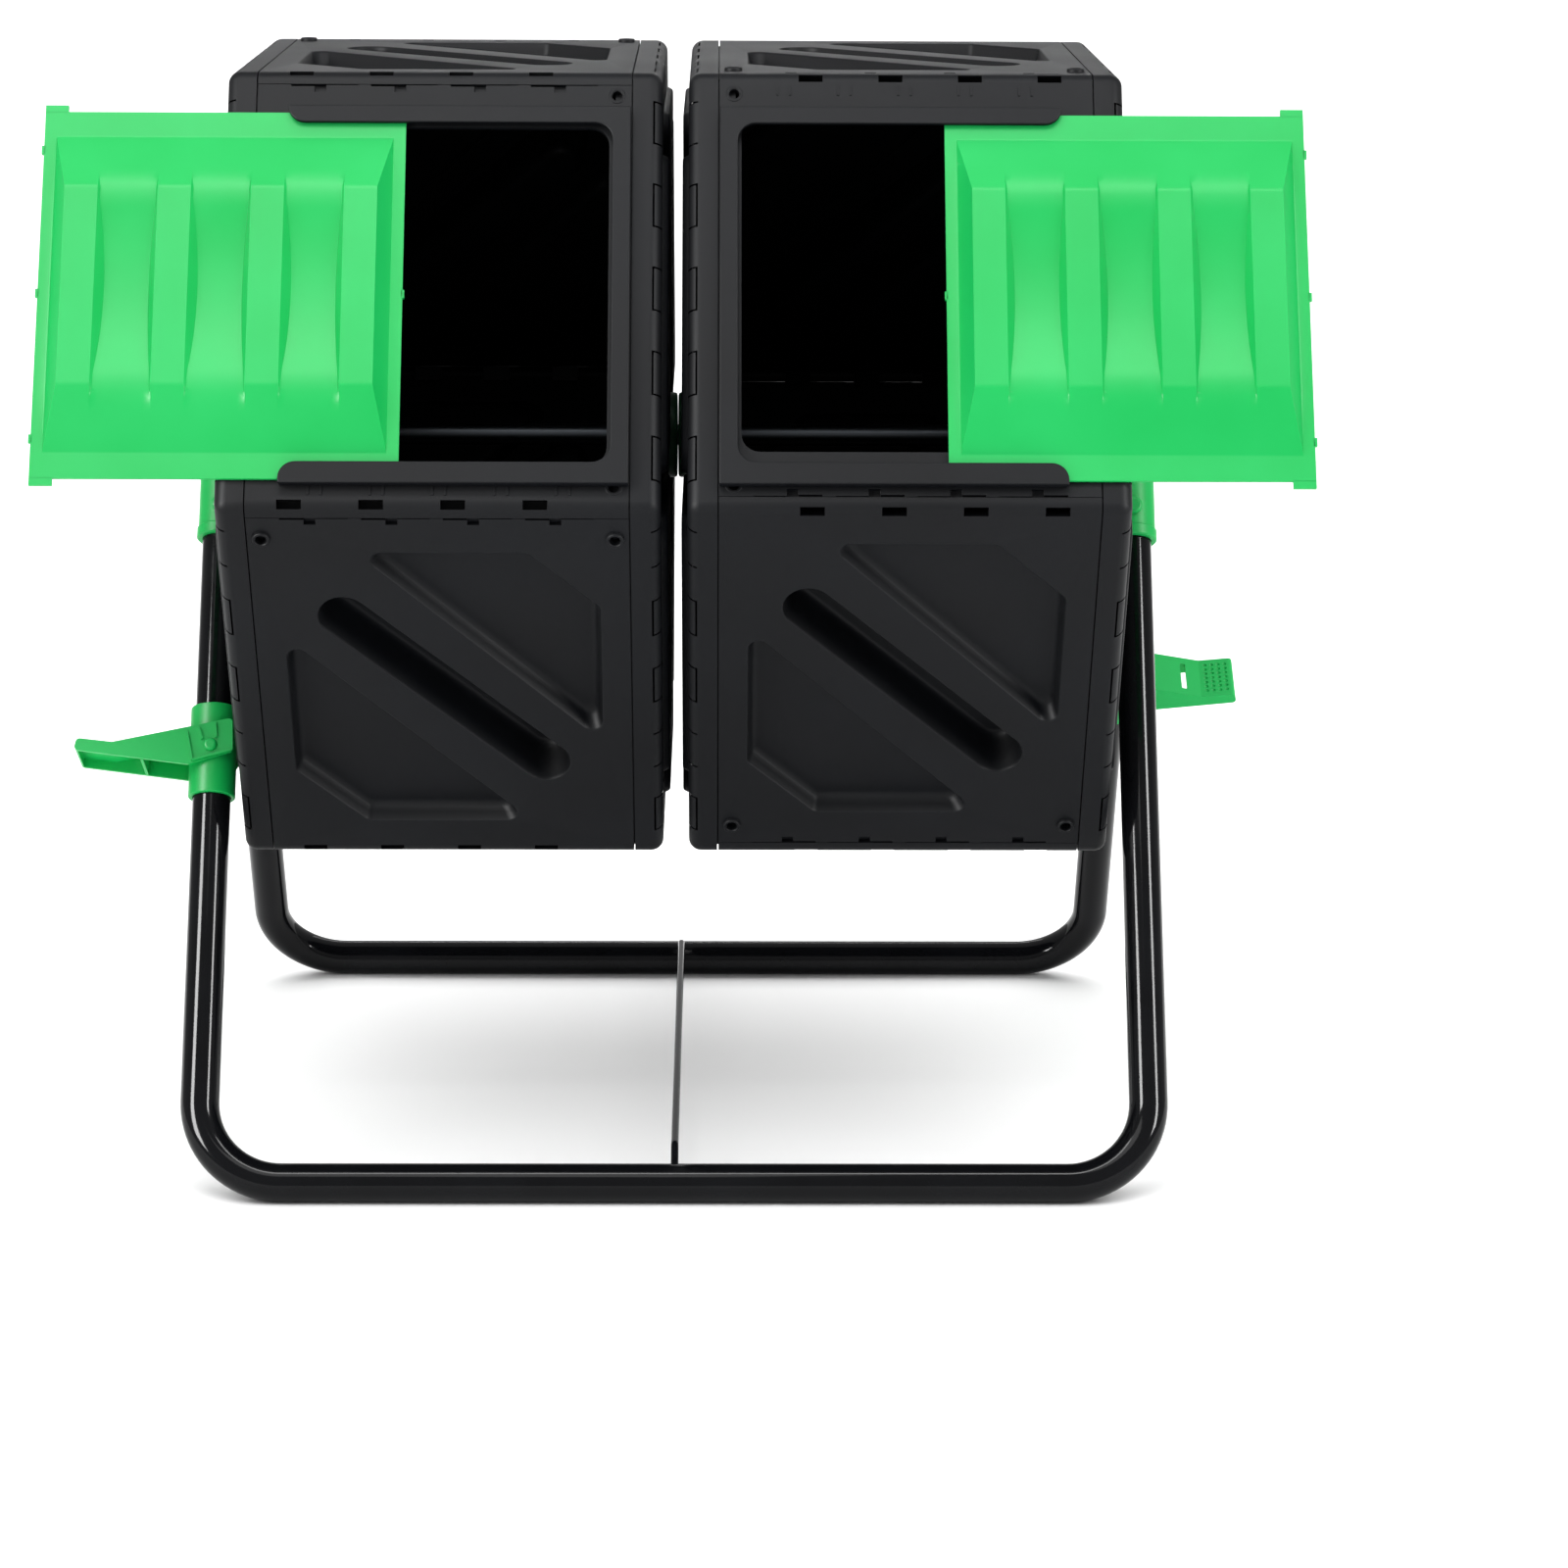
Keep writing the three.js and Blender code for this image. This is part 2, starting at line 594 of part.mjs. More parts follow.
// A tube or bar swept through points that are close together in the bends only.
function swept(outline, corners, radius, bendSteps) {
  const tube = new BentTube(corners, radius);
  const points = [];
  tube.path.curves.forEach((curve) => {
    const steps = curve instanceof ArcCurve ? bendSteps : 1;
    curve.getPoints(steps).forEach((point) => {
      if (!points.length || points[points.length - 1].distanceTo(point) > 1e-3) points.push(point);
    });
  });
  const route = new PolylineCurve(points);
  const geometry = new THREE.ExtrudeGeometry(outline, {
    steps: points.length - 1,
    extrudePath: route,
    bevelEnabled: false,
  });
  return solid(geometry);
}

// Passes exactly through its points, one step each, and gives the mean heading at each one.
class PolylineCurve extends THREE.Curve {
  constructor(points) {
    super();
    this.points = points;
  }

  index(t) {
    return Math.round(t * (this.points.length - 1));
  }

  getPoint(t) {
    return this.points[this.index(t)].clone();
  }

  getPointAt(t) {
    return this.getPoint(t);
  }

  getSpacedPoints(count) {
    return Array.from({ length: count + 1 }, (_, i) => this.getPoint(i / count));
  }

  getTangentAt(t) {
    const i = this.index(t);
    const before = this.points[Math.max(i - 1, 0)];
    const here = this.points[i];
    const after = this.points[Math.min(i + 1, this.points.length - 1)];
    const into = here.clone().sub(before).normalize();
    const out = after.clone().sub(here).normalize();
    return into.add(out).normalize();
  }
}

function circle(radius, sides, turn = 0) {
  const points = Array.from({ length: sides }, (_, i) => {
    const angle = turn + (2 * Math.PI * i) / sides;
    return new THREE.Vector2(radius * Math.cos(angle), radius * Math.sin(angle));
  });
  return points;
}

const legHeading = (way) => V(0, way * Math.sin(LEG_LEAN), -Math.cos(LEG_LEAN));
const legFace = (way) => V(0, way * Math.cos(LEG_LEAN), Math.sin(LEG_LEAN));

function ringOutline(outer, inner, sides, turn) {
  const outline = new THREE.Shape(circle(outer, sides, turn));
  outline.holes.push(new THREE.Path(circle(inner, sides, turn)));
  return outline;
}

// The rod's ends bend down and plug into the bars.
const ROD_RISE = 2 * TUBE_RADIUS + ROD_RADIUS + 3;
const ROD_BEND_Y = FOOT_Y - ROD_HOOK - TUBE_RADIUS;

function rodEnd(way) {
  const toward = V(0, way * FOOT_Y, FOOT_RISE).sub(V(0, way * ROD_BEND_Y, ROD_RISE)).normalize();
  return V(0, way * FOOT_Y, FOOT_RISE).addScaledVector(toward, -(TUBE_RADIUS - TUBE_WALL - 1));
}

function legFrame(way) {
  const turn = Math.PI / TUBE_SIDES - way * LEG_LEAN; // sets a flat of the tube on the ground
  const outline = ringOutline(TUBE_RADIUS, TUBE_RADIUS - TUBE_WALL, TUBE_SIDES, turn);
  const corners = [
    legPoint(-LEG_X, way, LEG_TOP_GAP),
    footPoint(-LEG_X, way),
    footPoint(LEG_X, way),
    legPoint(LEG_X, way, LEG_TOP_GAP),
  ];
  const tube = swept(outline, corners, BEND_RADIUS, 5);
  const holes = [-1, 1].map((side) => crossHole(side, way, BRACKET_BOLT, BOLT_RADIUS));
  holes.push(crossHole(way, way, COLLAR_CENTRE, PIN_RADIUS));
  const plug = hole(V(0, way * ROD_BEND_Y, ROD_RISE), rodEnd(way), ROD_RADIUS + GAP, 8);
  return cut(tube, ...holes, plug);
}

// A hole through a leg, square to it and to the axle.
function crossHole(side, way, fromAxle, radius) {
  const centre = legPoint(side * LEG_X, way, fromAxle);
  const out = legFace(way).multiplyScalar(40);
  return hole(centre.clone().add(out), centre.clone().sub(out), radius + GAP, 8);
}

function tieRod() {
  const corners = [
    rodEnd(-1),
    V(0, -ROD_BEND_Y, ROD_RISE),
    V(0, ROD_BEND_Y, ROD_RISE),
    rodEnd(1),
  ];
  return swept(new THREE.Shape(circle(ROD_RADIUS, 8)), corners, 8, 3);
}

// The top bracket: two sleeves for the legs, and a boss between them that holds the axle.
function topBracket(side) {
  const x = side * LEG_X;
  const along = (way) => {
    const from = legPoint(x, way, SLEEVE_START);
    return bar(from, legPoint(x, way, SLEEVE_END), SLEEVE_RADIUS, ROUND);
  };
  const boss = bar(
    V(x - BRACKET_HALF, 0, AXIS_HEIGHT),
    V(x + BRACKET_HALF, 0, AXIS_HEIGHT),
    BOSS_OF_BRACKET,
    ROUND,
  );
  const web = new THREE.Shape();
  const legSide = WEB_REACH * Math.sin(LEG_LEAN);
  const legDrop = WEB_REACH * Math.cos(LEG_LEAN);
  web.moveTo(0, WEB_TOP);
  web.lineTo(-legSide, -legDrop);
  web.lineTo(0, -WEB_NOTCH);
  web.lineTo(legSide, -legDrop);
  web.closePath();
  const geometry = new THREE.ExtrudeGeometry(web, { depth: WEB_THICK, bevelEnabled: false });
  geometry.rotateX(Math.PI / 2);
  geometry.rotateZ(Math.PI / 2);
  geometry.translate(x - WEB_THICK / 2, 0, AXIS_HEIGHT);
  const body = joined(boss, along(-1), along(1), solid(geometry));
  const bores = [-1, 1].flatMap((way) => [
    hole(legPoint(x, way, LEG_TOP_GAP - GAP), legPoint(x, way, SLEEVE_END + 5), TUBE_RADIUS + GAP, ROUND),
    crossHole(side, way, BRACKET_BOLT, BOLT_RADIUS),
  ]);
  const axle = hole(V(x - 40, 0, AXIS_HEIGHT), V(x + 40, 0, AXIS_HEIGHT), AXLE_RADIUS + GAP, ROUND);
  return cut(body, ...bores, axle);
}

// A bolt through a bracket sleeve and its leg, with a domed cap over each end.
function bracketBolt(side, way) {
  const centre = legPoint(side * LEG_X, way, BRACKET_BOLT);
  return crossPin(centre, legFace(way), BOLT_RADIUS, SLEEVE_RADIUS + GAP, BOLT_HEAD, 4);
}

function crossPin(centre, out, radius, reach, head, cap) {
  const at = (distance) => centre.clone().addScaledVector(out, distance);
  return joined(
    bar(at(-reach - 1), at(reach + 1), radius, 8),
    bar(at(reach), at(reach + cap), head, 10),
    bar(at(-reach), at(-reach - cap), head, 10),
  );
}

function axle() {
  const half = AXLE_LENGTH / 2;
  return bar(V(-half, 0, AXIS_HEIGHT), V(half, 0, AXIS_HEIGHT), AXLE_RADIUS, ROUND);
}

// A push-on cap that keeps the axle in its bracket.
function axleCap(side) {
  const seat = LEG_X + BRACKET_HALF + GAP;
  const end = AXLE_LENGTH / 2 + GAP;
  const inner = (AXLE_RADIUS + GAP) / Math.cos(Math.PI / ROUND);
  const body = turned(
    [
      [seat, inner],
      [seat, AXLE_CAP_RADIUS],
      [end, AXLE_CAP_RADIUS],
      [end + 4, AXLE_CAP_RADIUS - 4],
      [end + 4, 0],
      [end, 0],
      [end, inner],
      [seat, inner],
    ],
    ROUND,
  ).translate([0, 0, AXIS_HEIGHT]);
  return side > 0 ? body : body.rotate([0, 0, 180]);
}

// ---- locks -------------------------------------------------------------------------------
// A lock's own frame: X towards the drum, Y into the leg's face, Z up the leg.
function lockFrame(side, way, body) {
  const matrix = new THREE.Matrix4().makeBasis(
    V(-side, 0, 0),
    legFace(way).negate(),
    legHeading(way).negate(),
  );
  matrix.setPosition(legPoint(side * LEG_X, way, COLLAR_CENTRE));
  const geometry = geometryOf(body);
  geometry.applyMatrix4(matrix);
  return geometry;
}

function lockCollar() {
  const half = COLLAR_LENGTH / 2;
  const sleeve = bar(V(0, 0, -half), V(0, 0, half), COLLAR_RADIUS, ROUND);
  const bore = hole(V(0, 0, -half - 1), V(0, 0, half + 1), TUBE_RADIUS + GAP, ROUND);
  const pin = hole(V(0, -40, 0), V(0, 40, 0), PIN_RADIUS + GAP, 8);
  return cut(sleeve, bore, pin);
}

function lockPin() {
  const reach = COLLAR_RADIUS + LEVER_GAP + LEVER_CHEEK + GAP;
  return crossPin(V(0, 0, 0), V(0, 1, 0), PIN_RADIUS, reach, PIN_HEAD, 2.4);
}

// The lever straddles the collar: two cheeks on the pin, and a channel-shaped paddle.
function lockLever() {
  const outer = COLLAR_RADIUS + LEVER_GAP + LEVER_CHEEK;
  const web = -(COLLAR_RADIUS + LEVER_GAP);
  const outline = [
    [LEVER_NOSE, -5],
    [LEVER_NOSE - 1, LEVER_TOP],
    [-14, LEVER_TOP - 6.5],
    [-67, 2],
    [-LEVER_REACH, 5],
    [-LEVER_REACH - 2, 5 - PADDLE_HEIGHT],
    [-16, -LEVER_BOTTOM],
  ];
  const prism = (points, y0, y1) => {
    const shape = new THREE.Shape(points.map(([x, z]) => new THREE.Vector2(x, z)));
    const geometry = new THREE.ExtrudeGeometry(shape, { depth: y1 - y0, bevelEnabled: false });
    geometry.rotateX(Math.PI / 2);
    geometry.translate(0, y1, 0);
    return solid(geometry);
  };
  const wall = LEVER_CHEEK;
  const block = prism(outline.slice().reverse(), -outer, outer);
  const under = prism(
    [
      [web + 1, -LEVER_BOTTOM - 9],
      [-LEVER_REACH + 1, -PADDLE_HEIGHT - 2],
      [-LEVER_REACH + 1, 5 - wall],
      [-67, 2 - wall],
      [web + 1, LEVER_TOP - 7.5 - wall],
    ],
    -outer + wall, outer - wall,
  );
  const straddle = box(web, 60, -outer + wall, outer - wall, -60, 60);
  const rib = box(-50, -48, -outer + wall - 0.2, outer - wall + 0.2, -8, 4);
  const pin = hole(V(0, -40, 0), V(0, 40, 0), PIN_RADIUS + GAP, 8);
  return cut(joined(cut(block, under), rib.intersect(block)), straddle, pin);
}

// ---- assembly ----------------------------------------------------------------------------
const tumbler = new THREE.Group();
tumbler.add(part("front_leg_frame", legFrame(-1), BLACK_PAINT));
tumbler.add(part("rear_leg_frame", legFrame(1), BLACK_PAINT));
tumbler.add(part("tie_rod", tieRod(), BLACK_PAINT));
tumbler.add(part("axle", axle(), STEEL));
[[-1, "left"], [1, "right"]].forEach(([side, name]) => {
  tumbler.add(part(`${name}_top_bracket`, topBracket(side), GREEN_PLASTIC));
  tumbler.add(part(`${name}_axle_cap`, axleCap(side), GREEN_PLASTIC));
  [[-1, "front"], [1, "rear"]].forEach(([way, place]) => {
    tumbler.add(part(`${name}_${place}_bracket_bolt`, bracketBolt(side, way), GREEN_PLASTIC));
  });
  tumbler.add(chamber(side, name));
  // the left lock is on the front leg and the right one on the rear leg
  tumbler.add(part(`${name}_lock_collar`, lockFrame(side, side, lockCollar()), GREEN_PLASTIC));
  tumbler.add(part(`${name}_lock_lever`, lockFrame(side, side, lockLever()), GREEN_PLASTIC));
  tumbler.add(part(`${name}_lock_pin`, lockFrame(side, side, lockPin()), GREEN_PLASTIC));
});

export default tumbler;
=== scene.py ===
"""Looks of the dual-chamber compost tumbler: two hexagonal drums on one axle between bent-tube legs.

Sizes inside a class are millimetres, as on a workshop drawing.
A piece is turned to metres when it is finished.
"""

import logging
import math
from dataclasses import dataclass
from enum import Enum
from typing import Sequence

import bmesh
import bpy
from bmesh.types import BMEdge, BMesh, BMFace, BMVert
from mathutils import Matrix, Vector

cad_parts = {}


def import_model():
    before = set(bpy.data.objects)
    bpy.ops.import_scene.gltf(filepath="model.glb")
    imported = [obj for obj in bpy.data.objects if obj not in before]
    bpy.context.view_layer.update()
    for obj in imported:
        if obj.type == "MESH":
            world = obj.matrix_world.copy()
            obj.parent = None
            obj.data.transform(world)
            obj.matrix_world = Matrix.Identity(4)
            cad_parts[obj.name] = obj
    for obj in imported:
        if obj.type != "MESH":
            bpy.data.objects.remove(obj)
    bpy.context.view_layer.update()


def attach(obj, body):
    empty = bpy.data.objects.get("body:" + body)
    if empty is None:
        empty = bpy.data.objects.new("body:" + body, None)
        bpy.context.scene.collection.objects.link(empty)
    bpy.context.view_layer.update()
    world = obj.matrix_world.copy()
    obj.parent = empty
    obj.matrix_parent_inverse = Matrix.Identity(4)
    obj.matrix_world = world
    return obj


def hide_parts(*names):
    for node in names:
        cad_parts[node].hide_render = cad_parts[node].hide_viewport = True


log = logging.getLogger("tumbler")
MM = 0.001
COS_30, TAN_30 = math.cos(math.radians(30)), math.tan(math.radians(30))
X_TO_Z = Matrix.Rotation(-math.pi / 2, 4, "Y")
Point = tuple[float, float]
Socket = bpy.types.NodeSocket


class Hand(Enum):
    """The side of the tumbler that a piece belongs to, seen from the doors."""

    LEFT = -1
    RIGHT = 1

    @property
    def word(self) -> str:
        """The side's name, as it starts the names of the nodes."""
        return self.name.lower()


class End(Enum):
    """The end of a drum: towards the other drum, or towards the legs."""

    INNER = -1
    OUTER = 1


# ---- finishes ------------------------------------------------------------------------------


def linear(hex_code: str) -> tuple[float, float, float, float]:
    """Turns an sRGB hex colour to linear light.

    Args:
        hex_code: six hex digits, such as "2b2d30".

    Returns:
        Red, green, blue and alpha, with alpha 1.
    """
    parts = [int(hex_code[i:i + 2], 16) / 255 for i in (0, 2, 4)]
    light = [c / 12.92 if c <= 0.04045 else ((c + 0.055) / 1.055) ** 2.4 for c in parts]
    return (light[0], light[1], light[2], 1.0)


def add_node(tree: bpy.types.NodeTree, kind: str, values: dict[str, object], **links: Socket) -> bpy.types.Node:
    """Adds a shader node with its input values and links.

    Args:
        tree: the material's node tree.
        kind: the node's type name, without the "ShaderNode" in front.
        values: input name to its value.
        links: input name to the output socket that feeds it.

    Returns:
        The new node.
    """
    node = tree.nodes.new(f"ShaderNode{kind}")
    for name, value in values.items():
        node.inputs[name].default_value = value
    for name, source in links.items():
        tree.links.new(source, node.inputs[name])
    return node


@dataclass(frozen=True)
class Finish:
    """What every finish shares: a Principled shader fed by a tint, a gloss and a bump."""

    name: str

    def start(self) -> tuple[bpy.types.Material, bpy.types.NodeTree, Socket]:
        """Makes the bare material.

        Returns:
            The material, its node tree and its object coordinates.
        """
        material = bpy.data.materials.new(self.name)
        material.use_nodes = True
        tree = material.node_tree
        return material, tree, add_node(tree, "TexCoord", {}).outputs["Object"]

    def noise(self, tree: bpy.types.NodeTree, scale: float, detail: float, point: Socket) -> Socket:
        """Adds a noise texture at a point and returns its value."""
        return add_node(tree, "TexNoise", {"Scale": scale, "Detail": detail}, Vector=point).outputs["Fac"]

    def wire(
        self, tree: bpy.types.NodeTree, pattern: Socket, colours: Sequence[tuple[float, str]],
        gloss: dict[str, float], relief: Socket, bump: tuple[float, float], values: dict[str, float],
    ) -> None:
        """Feeds the Principled shader.

        Args:
            tree: the material's node tree.
            pattern: what the colour and the gloss follow.
            colours: (place in the pattern, hex colour) of both ends of the tint.
            gloss: the range of the pattern and of the roughness that it is turned to.
            relief: what the bump follows.
            bump: the bump's strength and its depth in metres.
            values: the shader's other inputs.
        """
        shader = tree.nodes["Principled BSDF"]
        tint = add_node(tree, "ValToRGB", {}, Fac=pattern)
        for element, (place, colour) in zip(tint.color_ramp.elements, colours):
            element.position = place
            element.color = linear(colour)
        rough = add_node(tree, "MapRange", gloss, Value=pattern)
        raised = add_node(tree, "Bump", {"Strength": bump[0], "Distance": bump[1]}, Height=relief)
        for name, value in values.items():
            shader.inputs[name].default_value = value
        tree.links.new(tint.outputs["Color"], shader.inputs["Base Color"])
        tree.links.new(rough.outputs["Result"], shader.inputs["Roughness"])
        tree.links.new(raised.outputs["Normal"], shader.inputs["Normal"])


@dataclass(frozen=True)
class MouldedPlastic(Finish):
    """Injection-moulded plastic from a spark-eroded tool: a fine even grain and a broad soft sheen."""

    base: str
    light: str
    roughness: float = 0.5
    specular: float = 0.3
    grain_mm: float = 0.9  # coarser than the real 0.2 mm grain, so that it shows
    grain_depth: float = 0.16
    flow_mm: float = 120.0

    def build(self) -> bpy.types.Material:
        """Builds the material: grain in the bump, and slow flow marks in the colour and gloss."""
        material, tree, point = self.start()
        grain = self.noise(tree, 1000 / self.grain_mm, 3.0, point)
        flow = self.noise(tree, 1000 / self.flow_mm, 4.0, point)
        self.wire(
            tree, flow, ((0.3, self.base), (0.72, self.light)),
            {"To Min": self.roughness - 0.05, "To Max": self.roughness + 0.07},
            grain, (self.grain_depth, 0.0004), {"IOR": 1.49, "Specular IOR Level": self.specular},
        )
        return material


@dataclass(frozen=True)
class TubeEnamel(Finish):
    """Gloss stoving enamel on drawn steel tube: deep black, sharp reflections and a faint orange peel."""

    base: str = "060607"
    dust: str = "101114"
    roughness: float = 0.07
    peel_mm: float = 2.2

    def build(self) -> bpy.types.Material:
        """Builds the material: orange peel in the bump, and a little dust in the colour and gloss."""
        material, tree, point = self.start()
        peel = self.noise(tree, 1000 / self.peel_mm, 1.0, point)
        dust = self.noise(tree, 24.0, 6.0, point)
        self.wire(
            tree, dust, ((0.0, self.base), (1.0, self.dust)),
            {"From Min": 0.35, "From Max": 0.8, "To Min": self.roughness, "To Max": self.roughness + 0.07},
            peel, (0.05, 0.0002), {"IOR": 1.5, "Specular IOR Level": 0.14},
        )
        return material


@dataclass(frozen=True)
class ZincSteel(Finish):
    """Zinc-plated drawn steel rod: pale grey with drawing marks that run along it."""

    base: str = "3c3f43"
    light: str = "5a5e63"
    stretch: tuple[float, float, float] = (6.0, 900.0, 900.0)

    def build(self) -> bpy.types.Material:
        """Builds the material: long streaks along X in the colour, gloss and bump."""
        material, tree, point = self.start()
        stretched = add_node(tree, "Mapping", {"Scale": self.stretch}, Vector=point).outputs["Vector"]
        streak = self.noise(tree, 1.0, 3.0, stretched)
        self.wire(
            tree, streak, ((0.0, self.base), (1.0, self.light)), {"To Min": 0.28, "To Max": 0.45},
            streak, (0.1, 0.0001), {"Metallic": 1.0},
        )
        return material


# ---- drawing helpers -----------------------------------------------------------------------


def rectangle(x0: float, x1: float, y0: float, y1: float) -> list[Point]:
    """The four corners of an upright rectangle, anticlockwise."""
    return [(x0, y0), (x1, y0), (x1, y1), (x0, y1)]


def arc(centre: Point, radius: float, start: float, end: float, steps: int) -> list[Point]:
    """Points on an arc.

    Args:
        centre: the arc's centre.
        radius: its radius.
        start: first angle in degrees.
        end: last angle in degrees.
        steps: how many pieces the arc is cut into.

    Returns:
        The points, both ends included.
    """
    angles = [math.radians(start + (end - start) * i / steps) for i in range(steps + 1)]
    return [(centre[0] + radius * math.cos(a), centre[1] + radius * math.sin(a)) for a in angles]


def circle(centre: Point, radius: float, steps: int = 24) -> list[Point]:
    """A full circle of points, without a repeated end."""
    return arc(centre, radius, 0, 360, steps)[:-1]


def rounded(points: Sequence[Point], radius: float, steps: int = 6) -> list[Point]:
    """Rounds every corner of a closed outline with an arc.

    Args:
        points: the outline's corners, in order.
        radius: the arc's radius, the same at each corner.
        steps: pieces in each arc.

    Returns:
        The rounded outline.
    """
    out: list[Point] = []
    count = len(points)
    for i, corner in enumerate(points):
        here = Vector(corner)
        back = (Vector(points[i - 1]) - here).normalized()
        on = (Vector(points[(i + 1) % count]) - here).normalized()
        half = back.angle(on) / 2
        reach = radius / math.tan(half)
        middle = here + (back + on).normalized() * (radius / math.sin(half))
        first = here + back * reach - middle
        last = here + on * reach - middle
        sweep = first.angle_signed(last)
        out += [tuple(middle + Matrix.Rotation(-sweep * k / steps, 2) @ first) for k in range(steps + 1)]
    return out


def add_loop(bm: BMesh, outline: Sequence[Point], height: float = 0.0) -> list[BMEdge]:
    """Adds a closed outline at a height and returns its edges."""
    verts = [bm.verts.new((x, y, height)) for x, y in outline]
    return [bm.edges.new((verts[i - 1], verts[i])) for i in range(len(verts))]


def fill_plate(bm: BMesh, edges: Sequence[BMEdge]) -> None:
    """Fills the flat space between loops of edges with faces that point along +Z."""
    made = bmesh.ops.triangle_fill(
        bm, use_beauty=True, use_dissolve=False, edges=list(edges), normal=(0, 0, 1),
    )
    for face in (g for g in made["geom"] if isinstance(g, BMFace)):
        face.normal_update()
        if face.normal.z < 0:
            face.normal_flip()


def inset(points: Sequence[Point], by: float) -> list[Point]:
    """Moves each side of a convex outline inwards.

    Args:
        points: the corners, anticlockwise.
        by: how far each side moves.

    Returns:
        The new corners.
    """
    out: list[Point] = []
    for i, corner in enumerate(points):
        here = Vector(corner)
        back = (Vector(points[i - 1]) - here).normalized()
        on = (Vector(points[(i + 1) % len(points)]) - here).normalized()
        out.append(tuple(here + (back + on).normalized() * (by / math.sin(back.angle(on) / 2))))
    return out


def lofted(bm: BMesh, rings: Sequence[tuple[Sequence[Point], float]]) -> list[BMEdge]:
    """Joins outlines at different heights with walls, and closes the last one.

    Args:
        bm: the bmesh to add to.
        rings: (outline, height) from the mouth to the floor, each with the same number of points.

    Returns:
        The mouth's edges.
    """
    loops = [add_loop(bm, outline, height) for outline, height in rings]
    for first, second in zip(loops, loops[1:]):
        bmesh.ops.bridge_loops(bm, edges=first + second)
    fill_plate(bm, loops[-1])
    return loops[0]


def outward(bm: BMesh) -> BMesh:
    """Makes the faces of closed solids point outwards."""
    bmesh.ops.recalc_face_normals(bm, faces=bm.faces)
    if bm.calc_volume(signed=True) < 0:
        bmesh.ops.reverse_faces(bm, faces=bm.faces)
    return bm


def thickened(skin: BMesh, wall: float) -> BMesh:
    """Gives an open skin that faces +Z a wall on its back, and makes the closed result face outwards."""
    bmesh.ops.recalc_face_normals(skin, faces=skin.faces)
    if max(skin.faces, key=lambda f: f.calc_area()).normal.z < 0:
        bmesh.ops.reverse_faces(skin, faces=skin.faces)
    bmesh.ops.solidify(skin, geom=skin.faces, thickness=wall)
    if skin.calc_volume(signed=True) < 0:
        bmesh.ops.reverse_faces(skin, faces=skin.faces)
    return skin


def spun(profile: Sequence[Point], steps: int = 48, closed: bool = True) -> BMesh:
    """Turns a profile round the X axis.

    Args:
        profile: (x, radius) points; a closed one makes a ring, an open one starts and ends on the axis.
        steps: segments round the turn.
        closed: whether the profile's last point joins its first.

    Returns:
        The turned solid.
    """
    bm = bmesh.new()
    verts = [bm.verts.new((x, 0.0, r)) for x, r in profile]
    pairs = list(zip(verts, verts[1:])) + ([(verts[-1], verts[0])] if closed else [])
    edges = [bm.edges.new(pair) for pair in pairs]
    bmesh.ops.spin(
        bm, geom=verts + edges, cent=(0, 0, 0), axis=(1, 0, 0), angle=2 * math.pi, steps=steps,
        use_merge=True,
    )
    bmesh.ops.remove_doubles(bm, verts=bm.verts, dist=1e-3)
    return outward(bm)
def bar(x0: float, x1: float, radius: float, chamfer: float, steps: int) -> BMesh:
    """A round bar along X.

    Args:
        x0: its first end.
        x1: its last end.
        radius: its radius.
        chamfer: width of the chamfer on both ends; 0 leaves them sharp.
        steps: facets round the bar.

    Returns:
        The closed bar.
    """
    first = [(x0, radius - chamfer), (x0 + chamfer, radius)] if chamfer else [(x0, radius)]
    last = [(x1 - chamfer, radius), (x1, radius - chamfer)] if chamfer else [(x1, radius)]
    return spun([(x0, 0), *first, *last, (x1, 0)], steps=steps, closed=False)
def prism(outline: Sequence[Point], z0: float, z1: float) -> BMesh:
    """A flat outline in XY, extruded along Z."""
    bm = bmesh.new()
    face = bm.faces.new([bm.verts.new((x, y, z0)) for x, y in outline])
    grown = bmesh.ops.extrude_face_region(bm, geom=[face])
    top = [g for g in grown["geom"] if isinstance(g, BMVert)]
    bmesh.ops.translate(bm, verts=top, vec=(0, 0, z1 - z0))
    return outward(bm)


def block(x0: float, x1: float, y0: float, y1: float, z0: float, z1: float) -> BMesh:
    """A box between two corners."""
    return prism(rectangle(x0, x1, y0, y1), z0, z1)


def merged(*parts: BMesh) -> BMesh:
    """Gathers several closed solids into the first one's bmesh."""
    scratch = bpy.data.meshes.new("scratch")
    for other in parts[1:]:
        other.to_mesh(scratch)
        other.free()
        parts[0].from_mesh(scratch)
    bpy.data.meshes.remove(scratch)
    return parts[0]


def moved(bm: BMesh, matrix: Matrix) -> BMesh:
    """Moves a whole bmesh, and turns its faces right again if the matrix mirrors it."""
    bmesh.ops.transform(bm, matrix=matrix, verts=bm.verts)
    if matrix.determinant() < 0:
        bmesh.ops.reverse_faces(bm, faces=bm.faces)
    return bm


